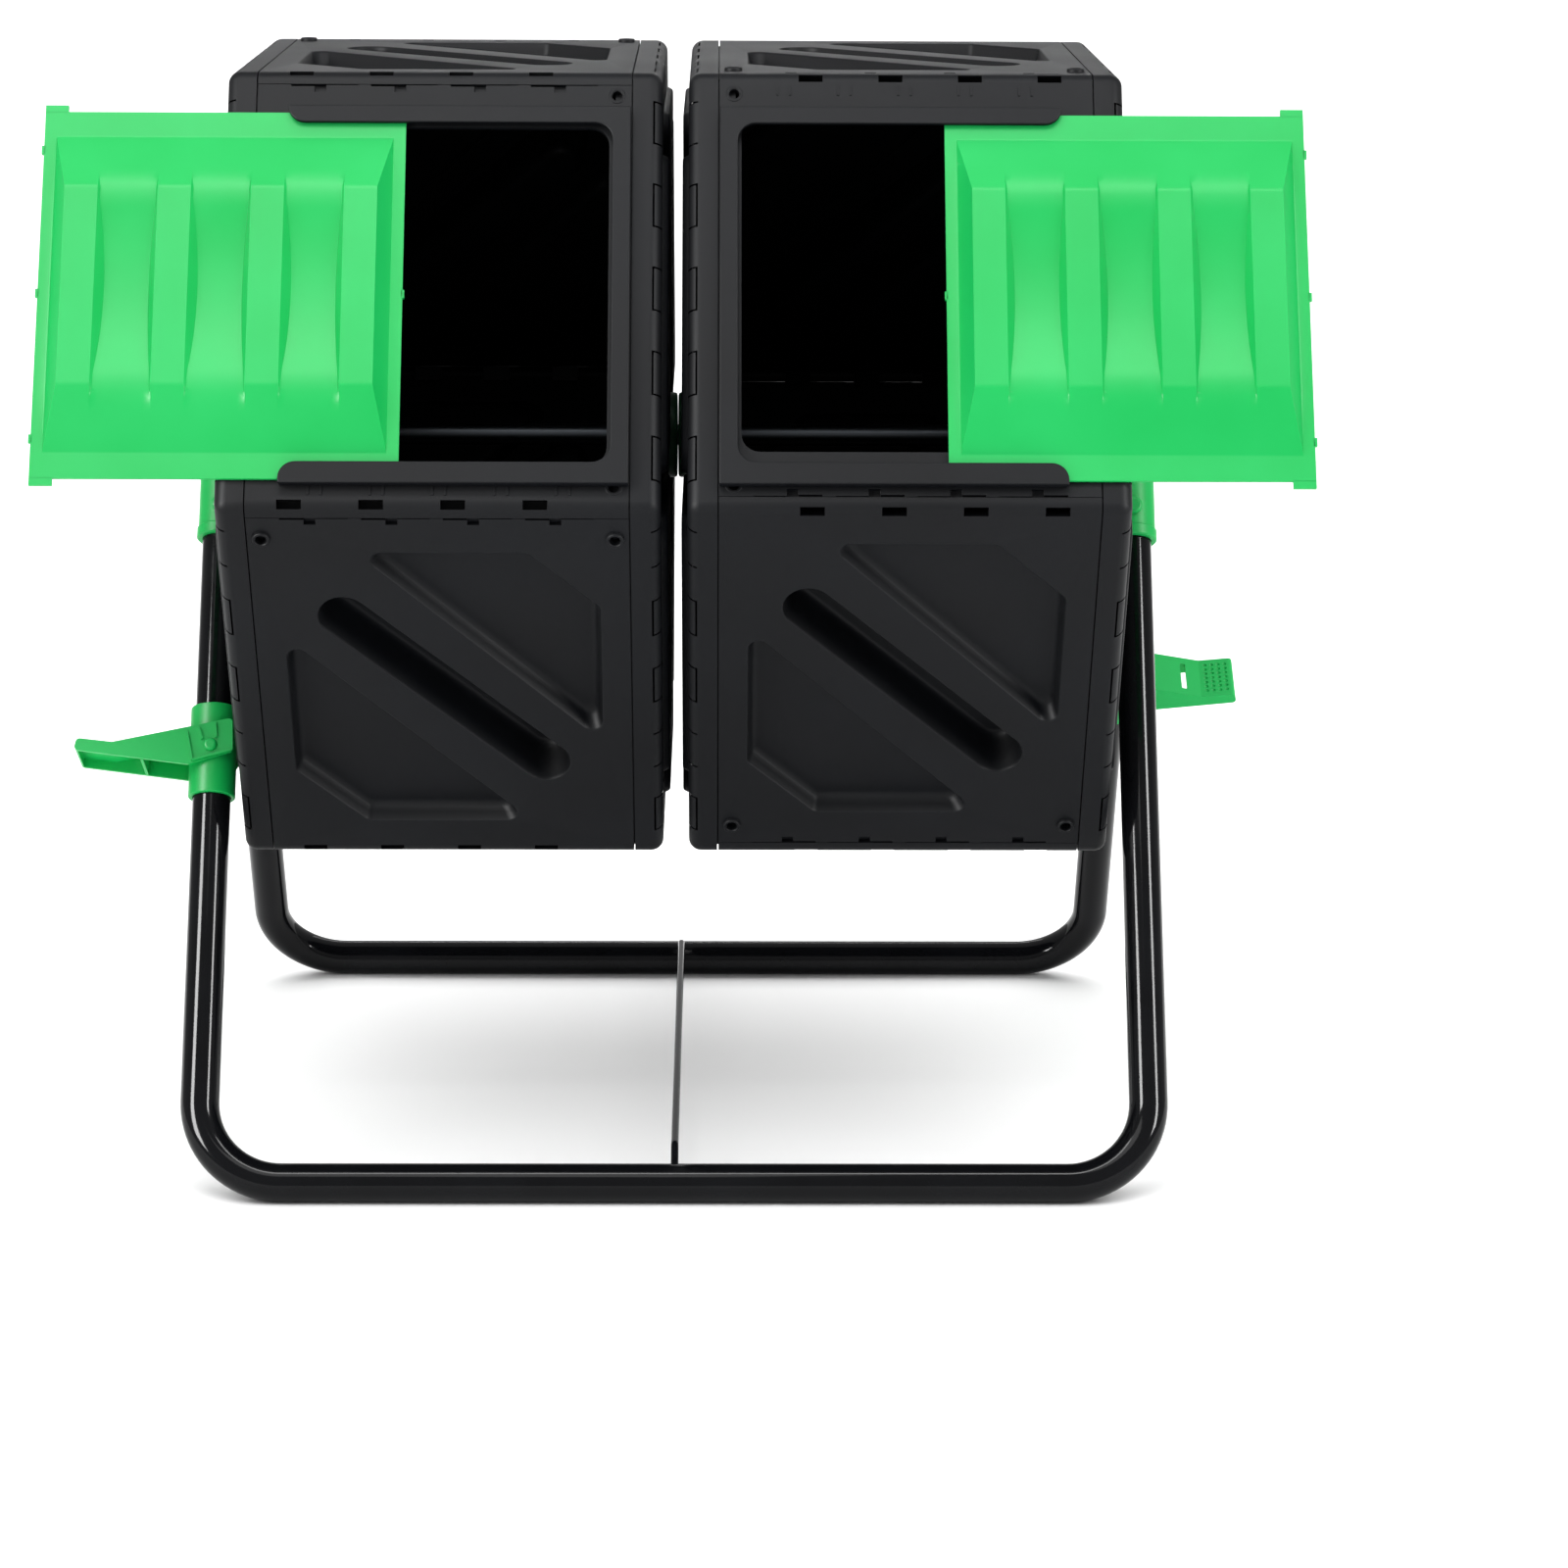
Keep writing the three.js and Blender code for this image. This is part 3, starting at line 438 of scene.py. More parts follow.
def rings_through(points: Sequence[Vector], radius: float, sides: int) -> BMesh:
    """Runs a round bar through points.

    Args:
        points: the bar's centre line; it turns a little at each point.
        radius: the bar's radius.
        sides: facets round the bar.

    Returns:
        The bar, closed at both ends.
    """
    bm = bmesh.new()
    previous: list[BMEdge] = []
    side = Vector((1, 0, 0))
    for i, point in enumerate(points):
        back = (point - points[max(i - 1, 0)]).normalized()
        on = (points[min(i + 1, len(points) - 1)] - point).normalized()
        heading = (back + on).normalized()
        side = (side - heading * side.dot(heading)).normalized() if abs(side.dot(heading)) < 0.99 else (
            Vector((0, 1, 0)).cross(heading).normalized())
        turn = Matrix((side, heading.cross(side), heading)).transposed().to_4x4()
        made = bmesh.ops.create_circle(bm, cap_ends=False, segments=sides, radius=radius)
        bmesh.ops.transform(bm, matrix=Matrix.Translation(point) @ turn, verts=made["verts"])
        ring = list({edge for vert in made["verts"] for edge in vert.link_edges})
        if previous:
            bmesh.ops.bridge_loops(bm, edges=previous + ring)
        previous = ring
    bmesh.ops.holes_fill(bm, edges=bm.edges, sides=sides)
    return outward(bm)


def soft_min(a: float, b: float, blend: float) -> float:
    """The smaller of two values, with a rounded change from one to the other.

    Args:
        a: one value.
        b: the other.
        blend: how near they are when the rounding starts.

    Returns:
        The blended smaller value.
    """
    near = max(blend - abs(a - b), 0.0) / blend
    return min(a, b) - near * near * blend / 4


def carved(solid: BMesh, cutters: BMesh, operation: str = "DIFFERENCE") -> BMesh:
    """Cuts one solid with others, or joins them.

    Args:
        solid: the closed solid to change; it is used up.
        cutters: closed solids in one bmesh; it is used up.
        operation: DIFFERENCE or UNION.
    Returns:
        The new solid.
    """
    pair = []
    for name, bm in (("solid", solid), ("cutter", cutters)):
        mesh = bpy.data.meshes.new(name)
        bm.to_mesh(mesh)
        bm.free()
        pair.append(bpy.data.objects.new(name, mesh))
        bpy.context.collection.objects.link(pair[-1])
    change = pair[0].modifiers.new("cut", "BOOLEAN")
    change.operation = operation
    change.object = pair[1]
    change.solver = "EXACT"
    change.use_self = True
    bpy.context.view_layer.update()
    result = bmesh.new()
    result.from_object(pair[0], bpy.context.evaluated_depsgraph_get())
    for piece in pair:
        mesh = piece.data
        bpy.data.objects.remove(piece)
        bpy.data.meshes.remove(mesh)
    bmesh.ops.dissolve_degenerate(result, dist=1e-3, edges=result.edges)
    return result


class Slot(Enum):
    """The record's material slots."""

    BLACK_PLASTIC = "black_plastic"
    GREEN_PLASTIC = "green_plastic"
    # painted shade: the bushes' green plastic darkened to stand for the shade in the gaps beside the drums
    DARK_GREEN_PLASTIC = "dark_green_plastic"
    GLOSS_BLACK_PAINT = "gloss_black_paint"
    ZINC_STEEL = "zinc_steel"


@dataclass(frozen=True)
class Softening:
    """The rounding that a moulded or machined edge gets."""

    width: float
    segments: int
    from_angle: float


@dataclass
class Fitter:
    """Finishes each shape as a piece in metres, dresses it and puts it on its body."""

    finishes: dict[Slot, bpy.types.Material]

    def fit(
        self, name: str, bm: BMesh, place: Matrix, body: str, slot: Slot, node: str,
        soften: Softening | None = None, smooth_under: float = 32.0,
    ) -> None:
        """Makes a piece, with its object at the origin and its place in its mesh.

        Args:
            name: the piece's name.
            bm: the shape, in millimetres; it is used up.
            place: where the shape goes, in millimetres.
            body: the body that it rides on.
            slot: the finish.
            node: the CAD node that it stands for.
            soften: rounding of the sharp edges, if any.
            smooth_under: edges flatter than this angle in degrees are shaded smooth.
        """
        moved(bm, Matrix.Scale(MM, 4) @ place)
        mesh = bpy.data.meshes.new(name)
        bm.to_mesh(mesh)
        bm.free()
        mesh.shade_smooth()
        mesh.set_sharp_from_angle(angle=math.radians(smooth_under))
        mesh.materials.append(self.finishes[slot])
        piece = bpy.data.objects.new(name, mesh)
        bpy.context.collection.objects.link(piece)
        if soften:
            edge = piece.modifiers.new("edge", "BEVEL")
            edge.width = soften.width * MM
            edge.segments = soften.segments
            edge.limit_method = "ANGLE"
            edge.angle_limit = math.radians(soften.from_angle)
            edge.profile = 0.5
            edge.use_clamp_overlap = True
        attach(piece, body)
        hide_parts(node)
        log.info("%s: %d faces", name, len(mesh.polygons))


# ---- drums ---------------------------------------------------------------------------------


@dataclass(frozen=True)
class Drum:
    """Sizes that the drum's pieces share."""

    side: float = 327.0  # side of the hexagon, which is also its corner radius
    axis_height: float = 506.0
    centre: float = 162.65  # middle of a chamber from the middle of the axle
    panel_width: float = 264.7
    first_tilt: float = 30.0  # degrees from the horizontal to the door panel's normal
    corner: float = 10.0  # rounding along the hexagon's corners
    wall: float = 4.0

    @property
    def apothem(self) -> float:
        """From the axle to the middle of a side."""
        return self.side * COS_30

    def panel_place(self, hand: Hand, index: int, turned: bool = True) -> Matrix:
        """The place of a side panel.

        Args:
            hand: the drum's side.
            index: 0 for the door panel, then round the hexagon over the top.
            turned: whether the right drum's panel is turned half round in its plane.

        Returns:
            The matrix from panel coordinates, with X along the axle, Y along the side and Z outwards.
        """
        tilt = math.radians(self.first_tilt + 60 * index)
        along = Vector((0, math.sin(tilt), math.cos(tilt)))
        out = Vector((0, -math.cos(tilt), math.sin(tilt)))
        basis = Matrix((Vector((1, 0, 0)), along, out)).transposed().to_4x4()
        origin = Vector((hand.value * self.centre, 0, self.axis_height)) + out * self.apothem
        half_turn = Matrix.Rotation(math.pi, 4, "Z") if turned and hand is Hand.RIGHT else Matrix()
        return Matrix.Translation(origin) @ basis @ half_turn

    def cap_place(self, hand: Hand, way: int) -> Matrix:
        """The place of an end cap.

        Args:
            hand: the drum's side.
            way: the direction along X that the cap faces, 1 or -1.

        Returns:
            The matrix from cap coordinates, with Z outwards from the cap's seam.
        """
        basis = Matrix(((0, way, 0), (0, 0, 1), (way, 0, 0))).transposed().to_4x4()
        seam = hand.value * self.centre + way * self.panel_width / 2
        return Matrix.Translation((seam, 0, self.axis_height)) @ basis


@dataclass
class SidePanels:
    """The six moulded panels of a drum; each wraps round one corner of the hexagon on to its neighbour."""

    drum: Drum
    fitter: Fitter
    overlap: float = 9.0  # how far the wrapped edge reaches past the corner
    seam: float = 0.7  # gap to the end caps
    joint: float = 0.4  # gap to the neighbour's wrapped edge
    vent_centres: tuple[float, ...] = (-101.5, -45.2, 11.0, 67.4)
    vent: Point = (17.0, 6.6)
    vent_turn: float = 18.0  # how far round the rounded corner a vent sits, in degrees
    # what the hidden tabs leave open along the joint: (from, to) from a vent's middle, and the width
    tab_cuts: tuple[tuple[float, float, float], ...] = ((-7.0, 9.6, 1.3), (9.6, 17.8, 5.6), (17.8, 40.4, 0.4))
    boss_hole: float = 3.7
    boss_profile: tuple[Point, ...] = (
        (-3.5, 3.9), (2.0, 3.9), (2.6, 4.5), (2.6, 5.6), (2.0, 6.2), (-0.5, 6.5), (-3.5, 6.5),
    )
    plain_bosses: tuple[Point, ...] = ((-122.0, 136.0), (122.0, 136.0))
    door_bosses: tuple[Point, ...] = ((121.4, 146.0), (121.4, -148.0))
    door_boss_sink: float = 2.2  # the door slides over these
    cup_wall: float = 2.0
    cup: Point = (-17.0, -2.0)  # the cup's ends, from the rounded corner's surface
    cup_hollow: Point = (-15.5, 1.0)
    tick_places: tuple[float, ...] = (86.4, 43.8, 1.2, -41.5, -84.2)
    tick_rows: tuple[Point, ...] = ((-154.0, -147.0), (134.0, 138.0))
    tick_spread: float = 4.5  # half the gap between the ribs of a pair
    tick_half: float = 0.8
    tick_height: float = 0.6
    pocket_edge: float = 112.0
    pocket_top: float = 128.5
    pocket_shift: float = -4.5  # how far below the panel's middle the pockets are centred
    pocket_chamfer: float = 50.0
    pocket_tail: Point = (60.0, 52.0)
    slot_reach: float = 69.0
    slot_width: float = 37.0
    slot_depth: float = 36.0
    opening: Point = (232.5, 253.0)
    opening_corner: float = 13.0
    opening_shift: float = -5.0
    # a pocket's wall: a crisp lip, a drafted wall and a wide blend into the floor, as (in, down)
    pocket_wall: tuple[Point, ...] = (
        (0.0, 0.0), (0.5, -0.12), (0.9, -0.5), (1.2, -1.0), (2.8, -7.0), (4.0, -10.6), (5.0, -12.0),
        (6.4, -13.0), (8.0, -13.4), (9.8, -13.5),
    )

    def skin(self, hole: Sequence[Point] = (), pockets: bool = False) -> BMesh:
        """The panel with its wrapped lower edge.

        Args:
            hole: outline cut right through, if any.
            pockets: whether the three pockets are pressed in.

        Returns:
            The closed panel.
        """
        half = self.drum.panel_width / 2 - self.seam
        bend = self.drum.corner * TAN_30
        low = -self.drum.side / 2 + bend
        high = self.drum.side / 2 - self.overlap - self.joint
        bm = bmesh.new()
        edges = add_loop(bm, rectangle(-half, half, low, high))
        if hole:
            edges += add_loop(bm, hole)
        if pockets:
            for pocket in self.pockets():
                edges += lofted(bm, pocket)
        fill_plate(bm, edges)
        lip = [e for e in bm.edges if e.is_boundary and all(abs(v.co.y - low) < 1e-3 for v in e.verts)]
        ends = list({v for e in lip for v in e.verts})
        fold = math.radians(60)
        turn = bmesh.ops.spin(
            bm, geom=ends + lip, cent=(0, low, -self.drum.corner), axis=(1, 0, 0), angle=fold, steps=6,
        )
        last = [g for g in turn["geom_last"] if isinstance(g, BMEdge)]
        grown = bmesh.ops.extrude_edge_only(bm, edges=last)
        tail = [g for g in grown["geom"] if isinstance(g, BMVert)]
        reach = self.overlap - bend
        bmesh.ops.translate(bm, verts=tail, vec=(0, -reach * math.cos(fold), -reach * math.sin(fold)))
        return thickened(bm, self.drum.wall)

    def pockets(self) -> list[list[tuple[list[Point], float]]]:
        """The rings of the three pressed pockets: a diagonal slot between two five-sided ones."""
        edge, top, cut, tail = self.pocket_edge, self.pocket_top, self.pocket_chamfer, self.pocket_tail
        upper = [(-tail[0], top), (edge, -tail[1]), (edge, top - cut), (edge - cut, top)]
        reach, width = self.slot_reach, self.slot_width / 2
        rings: list[list[tuple[list[Point], float]]] = [[], [], []]
        for inwards, down in self.pocket_wall:
            outline = rounded(inset(upper, inwards), 8 - inwards * 0.4)
            slot = arc((reach, -reach), width - inwards, -135, 45, 16)
            slot += arc((-reach, reach), width - inwards, 45, 225, 16)
            for ring, shape in zip(rings, (outline, [(-x, -y) for x, y in outline], slot)):
                depth = down * (self.slot_depth / -self.pocket_wall[-1][1] if shape is slot else 1)
                ring.append(([(x, y + self.pocket_shift) for x, y in shape], depth))
        return rings

    def cutters(self, bosses: Sequence[Point]) -> BMesh:
        """The vents at the wrapped corner, the tabs' gaps along the joint, and the screw holes.

        Args:
            bosses: where the screw holes are.

        Returns:
            The cutting solids.
        """
        high = self.drum.side / 2 - self.overlap - self.joint
        parts = []
        for x in self.vent_centres:
            parts.append(self.vent_block(x, 0.0, -self.drum.corner, 3.0))
            for start, end, deep in self.tab_cuts:
                parts.append(block(x + start, x + end, high - deep, high + 3, -3.4, 3))
        for x, y in bosses:
            hole = prism(circle((0, 0), self.boss_hole, 24), -9, 3)
            parts.append(moved(hole, Matrix.Translation((x, y, 0))))
        return merged(*parts)

    def vent_block(self, x: float, margin: float, low: float, high: float) -> BMesh:
        """A block lined up with a vent.

        Args:
            x: the vent's middle.
            margin: how much wider than the vent the block is, all round.
            low: its inner end, from the rounded corner's surface.
            high: its outer end.

        Returns:
            The closed block.
        """
        wide, tall = self.vent[0] / 2 + margin, self.vent[1] / 2 + margin
        corner = self.drum.corner
        pivot = Vector((0, -self.drum.side / 2 + corner * TAN_30, -corner))
        swing = Matrix.Translation(pivot) @ Matrix.Rotation(math.radians(self.vent_turn), 4, "X")
        return moved(block(x - wide, x + wide, -tall, tall, corner + low, corner + high), swing)

    def baffles(self) -> list[BMesh]:
        """The cups behind the vents, which keep the compost in."""
        return [
            carved(self.vent_block(x, self.cup_wall, *self.cup), self.vent_block(x, 0.0, *self.cup_hollow))
            for x in self.vent_centres
        ]

    def boss(self, x: float, y: float, sink: float = 0.0) -> BMesh:
        """A screw boss: a low ring round its hole, pressed in by its sink."""
        return moved(spun(self.boss_profile, steps=28), Matrix.Translation((x, y, -sink)) @ X_TO_Z)

    def plain(self) -> BMesh:
        """A panel with three pockets."""
        panel = carved(self.skin(pockets=True), self.cutters(self.plain_bosses))
        return merged(panel, *(self.boss(x, y) for x, y in self.plain_bosses), *self.baffles())

    def doorway(self) -> BMesh:
        """The panel with the door's opening and the bosses at its closed end."""
        wide, tall = self.opening
        shift = self.opening_shift
        hole = rounded(
            rectangle(-wide / 2, wide / 2, shift - tall / 2, shift + tall / 2), self.opening_corner,
        )
        panel = carved(self.skin(hole), self.cutters(self.door_bosses))
        rings = [self.boss(x, y, self.door_boss_sink) for x, y in self.door_bosses]
        return merged(panel, *rings, *self.ticks(), *self.baffles())

    def ticks(self) -> list[BMesh]:
        """The pairs of small guide ribs beside both rails."""
        half = self.tick_half
        return [
            block(x + gap - half, x + gap + half, low, high, -0.5, self.tick_height)
            for x in self.tick_places for gap in (-self.tick_spread, self.tick_spread)
            for low, high in self.tick_rows
        ]

    def build(self) -> None:
        """Makes the masters, and copies them round both drums."""
        plain, doorway = self.plain(), self.doorway()
        for hand in Hand:
            for index in range(6):
                node = f"{hand.word}_panel_{index}" if index else f"{hand.word}_door_panel"
                self.fitter.fit(
                    f"{node}_skin", (plain if index else doorway).copy(), self.drum.panel_place(hand, index),
                    f"{hand.word}_drum", Slot.BLACK_PLASTIC, node, Softening(0.5, 2, 50),
                )
        plain.free()
        doorway.free()


@dataclass
class DoorFrames:
    """The rails that each door slides in, open at the end that the door leaves by."""

    drum: Drum
    fitter: Fitter
    middle: float = -6.5  # middle of the door
    slot: float = 138.2  # half height of the space between the rails
    margin: float = 3.0
    base: float = 4.4
    lip: float = 3.4
    lip_middle: float = -5.0
    lip_inner: float = 127.0  # half height of the window inside the lips
    end: float = 109.0
    tip: float = 12.0
    corner: float = 13.0
    upright: float = 12.6
    post: float = 3.2
    gap: float = 0.3
    bite: float = 0.4  # how far a base enters the lip, and stands back from its edge

    def lip_outline(self, closed: float) -> list[Point]:
        """The outline of the lips and the upright bar.

        Args:
            closed: the outer edge of the upright bar.

        Returns:
            The outline, with the open end towards -X.
        """
        outer, inner = self.slot + self.margin, closed - self.upright
        low, high = self.lip_middle - self.lip_inner, self.lip_middle + self.lip_inner
        tip, corner = self.tip, self.corner
        path = [(closed, self.middle - outer), (closed, self.middle + outer)]
        path.append((-self.end, self.middle + outer))
        path += arc((-self.end + tip, high + tip), tip, 180, 270, 8)
        path += arc((inner - corner, high - corner), corner, 90, 0, 8)
        path += arc((inner - corner, low + corner), corner, 0, -90, 8)
        path += arc((-self.end + tip, low - tip), tip, 90, 180, 8)
        return path + [(-self.end, self.middle - outer)]

    def build(self) -> None:
        """Makes the rails of both drums; in a panel's own plane both pairs are the same."""
        mid, outer = self.middle, self.slot + self.margin
        closed = self.drum.panel_width / 2 - 1
        for hand in Hand:
            place = self.drum.panel_place(hand, 0, turned=False) @ Matrix.Scale(-hand.value, 4, (1, 0, 0))
            top = prism(self.lip_outline(closed), self.gap + self.base, self.gap + self.base + self.lip)
            height = self.gap + self.base + self.bite
            start, far = -self.end + 0.6, outer - self.bite
            bases = [
                block(start, closed, mid + self.slot, mid + far, self.gap, height),
                block(start, closed, mid - far, mid - self.slot, self.gap, height),
                block(closed - self.post, closed, mid - self.slot - 1, mid + self.slot + 1, self.gap, height),
            ]
            self.fitter.fit(
                f"{hand.word}_rails", merged(top, *bases), place, f"{hand.word}_drum",
                Slot.BLACK_PLASTIC, f"{hand.word}_door_rails", Softening(0.9, 3, 35),
            )


@dataclass
class Doors:
    """The sliding doors: a thin flange, and a crown with four ribs and three dished valleys."""

    drum: Drum
    fitter: Fitter
    width: float = 253.0
    height: float = 274.0
    middle: float = -6.5
    back: float = 0.7
    flange: float = 3.0
    rise: float = 16.0
    border: float = 8.5
    border_end: float = 19.0
    draft: float = 9.5
    near_slope: float = 0.65  # how far a rib's right side, seen from outside, leans for its height
    far_slope: float = 0.5  # the same, for its left side
    ramp: float = 44.0
    rib: float = 23.0
    ribs: int = 4
    valley: float = 9.0
    slide: float = 153.0
    wall: float = 2.6
    tab: Point = (16.0, 5.0)  # a corner tab's width, and how far it stands out
    nub: Point = (1.6, 3.0)  # how far a nub stands out, and its half width
    nub_places: tuple[float, ...] = (-108.0, 0.0, 108.0)
    stop: float = 1.2

    def along(self, y: float) -> float:
        """The height of the end ramps at a place along the ribs."""
        return (self.height / 2 - self.border_end - abs(y)) * self.rise / self.ramp

    def heights(self, y: float) -> tuple[float, float]:
        """The heights of the ribs and of the valley floors at a place along them."""
        flat = self.height / 2 - self.border_end - self.ramp
        rib = max(soft_min(self.along(y), self.rise, 0.6), 0.0)
        floor = soft_min(self.along(y), self.rise - self.valley * (1 - (y / flat) ** 2), 9.0)
        return rib, min(max(floor, 0.0), rib)

    def profile(self, y: float) -> list[Point]:
        """The line across the door at one place along the ribs.

        Args:
            y: the place, from the door's middle.

        Returns:
            (x, height) pairs; the same number at every place.
        """
        rib, floor = self.heights(y)
        crown = self.width / 2 - self.border
        left, right = self.draft - crown, crown - self.draft
        pitch = (right - left - self.rib) / (self.ribs - 1)
        brow = self.draft * rib / self.rise - crown
        line = [(-self.width / 2, 0.0), (-crown - 0.8, 0.0), (-crown, 0.15), (brow - 0.1, 1.0)]
        line.append((brow + 0.6, 1.0))
        fall = rib - floor
        for k in range(self.ribs - 1):
            start, end = left + self.rib + pitch * k, left + pitch * (k + 1)
            foot, heel = start + 0.25 + fall * self.near_slope, end - 0.25 - fall * self.far_slope
            floors = [(foot + (heel - foot) * step / 8, 0.0) for step in range(9)]
            line += [(start - 0.5, 1.0), (start, 1.0), *floors, (end, 1.0), (end + 0.5, 1.0)]
        line += [(-brow - 0.6, 1.0), (0.1 - brow, 1.0), (crown, 0.15), (crown + 0.8, 0.0)]
        line.append((self.width / 2, 0.0))
        # 1 stands for the ribs' height and 0.15 for the crown's foot; 0 is the flange or a valley's floor
        levels = {1.0: rib, 0.15: rib * 0.02}
        first, last = 5, len(line) - 5
        return [
            (x, floor if first <= i < last and level == 0.0 else levels.get(level, 0.0))
            for i, (x, level) in enumerate(line)
        ]

    def skin(self) -> BMesh:
        """The door's outer skin, from lines across it that crowd where the surface turns."""
        foot = self.height / 2 - self.border_end
        flat = foot - self.ramp
        places = {-self.height / 2, self.height / 2, 0.0}
        for turn in (foot, flat, -flat, -foot):
            places |= {turn + 0.8 * k for k in range(-3, 4)}
        places |= {flat * k / 30 for k in range(-29, 30)}
        places |= {side * (flat + self.ramp * k / 10) for k in range(1, 10) for side in (-1, 1)}
        ys = sorted(places)
        rows = [self.profile(y) for y in ys]
        bm = bmesh.new()
        bmesh.ops.create_grid(bm, x_segments=len(rows[0]) - 1, y_segments=len(ys) - 1, size=0.5)
        for vert in bm.verts:
            column = round((vert.co.x + 0.5) * (len(rows[0]) - 1))
            row = round((vert.co.y + 0.5) * (len(ys) - 1))
            x, height = rows[row][column]
            vert.co = (x, ys[row], self.back + self.flange + height)
        return thickened(bm, self.wall)

    def edge_pieces(self, hand: Hand) -> list[BMesh]:
        """The corner tabs, the nubs on the outer edge and the finger stop on the inner one.

        Args:
            hand: the door's side, which its outer edge faces.

        Returns:
            The closed solids, in the door's own coordinates.
        """
        half, tall, front = self.width / 2, self.height / 2, self.back + self.flange
        (wide, out), (nub, nub_half) = self.tab, self.nub
        tabs = [block(half - wide, half, tall - 0.5, tall + out, self.back, front),
                block(half - wide, half, -tall - out, 0.5 - tall, self.back, front)]
        nubs = [block(half - 1, half + nub, y - nub_half, y + nub_half, self.back, front)
                for y in self.nub_places]
        stop = block(-half - self.stop, -half + 1, -3, 3, self.back, front)
        flip = Matrix.Scale(hand.value, 4, (1, 0, 0))
        return [moved(piece, flip) for piece in (*tabs, *nubs, stop)]

    def build(self) -> None:
        """Makes both doors, slid open; the ribs' steeper sides face the same way on both."""
        master = self.skin()
        for hand in Hand:
            place = self.drum.panel_place(hand, 0, turned=False)
            place = place @ Matrix.Translation((hand.value * self.slide, self.middle, 0))
            self.fitter.fit(
                f"{hand.word}_door_shell", merged(master.copy(), *self.edge_pieces(hand)), place,
                f"{hand.word}_door", Slot.GREEN_PLASTIC, f"{hand.word}_door", Softening(0.4, 2, 50),
            )
        master.free()

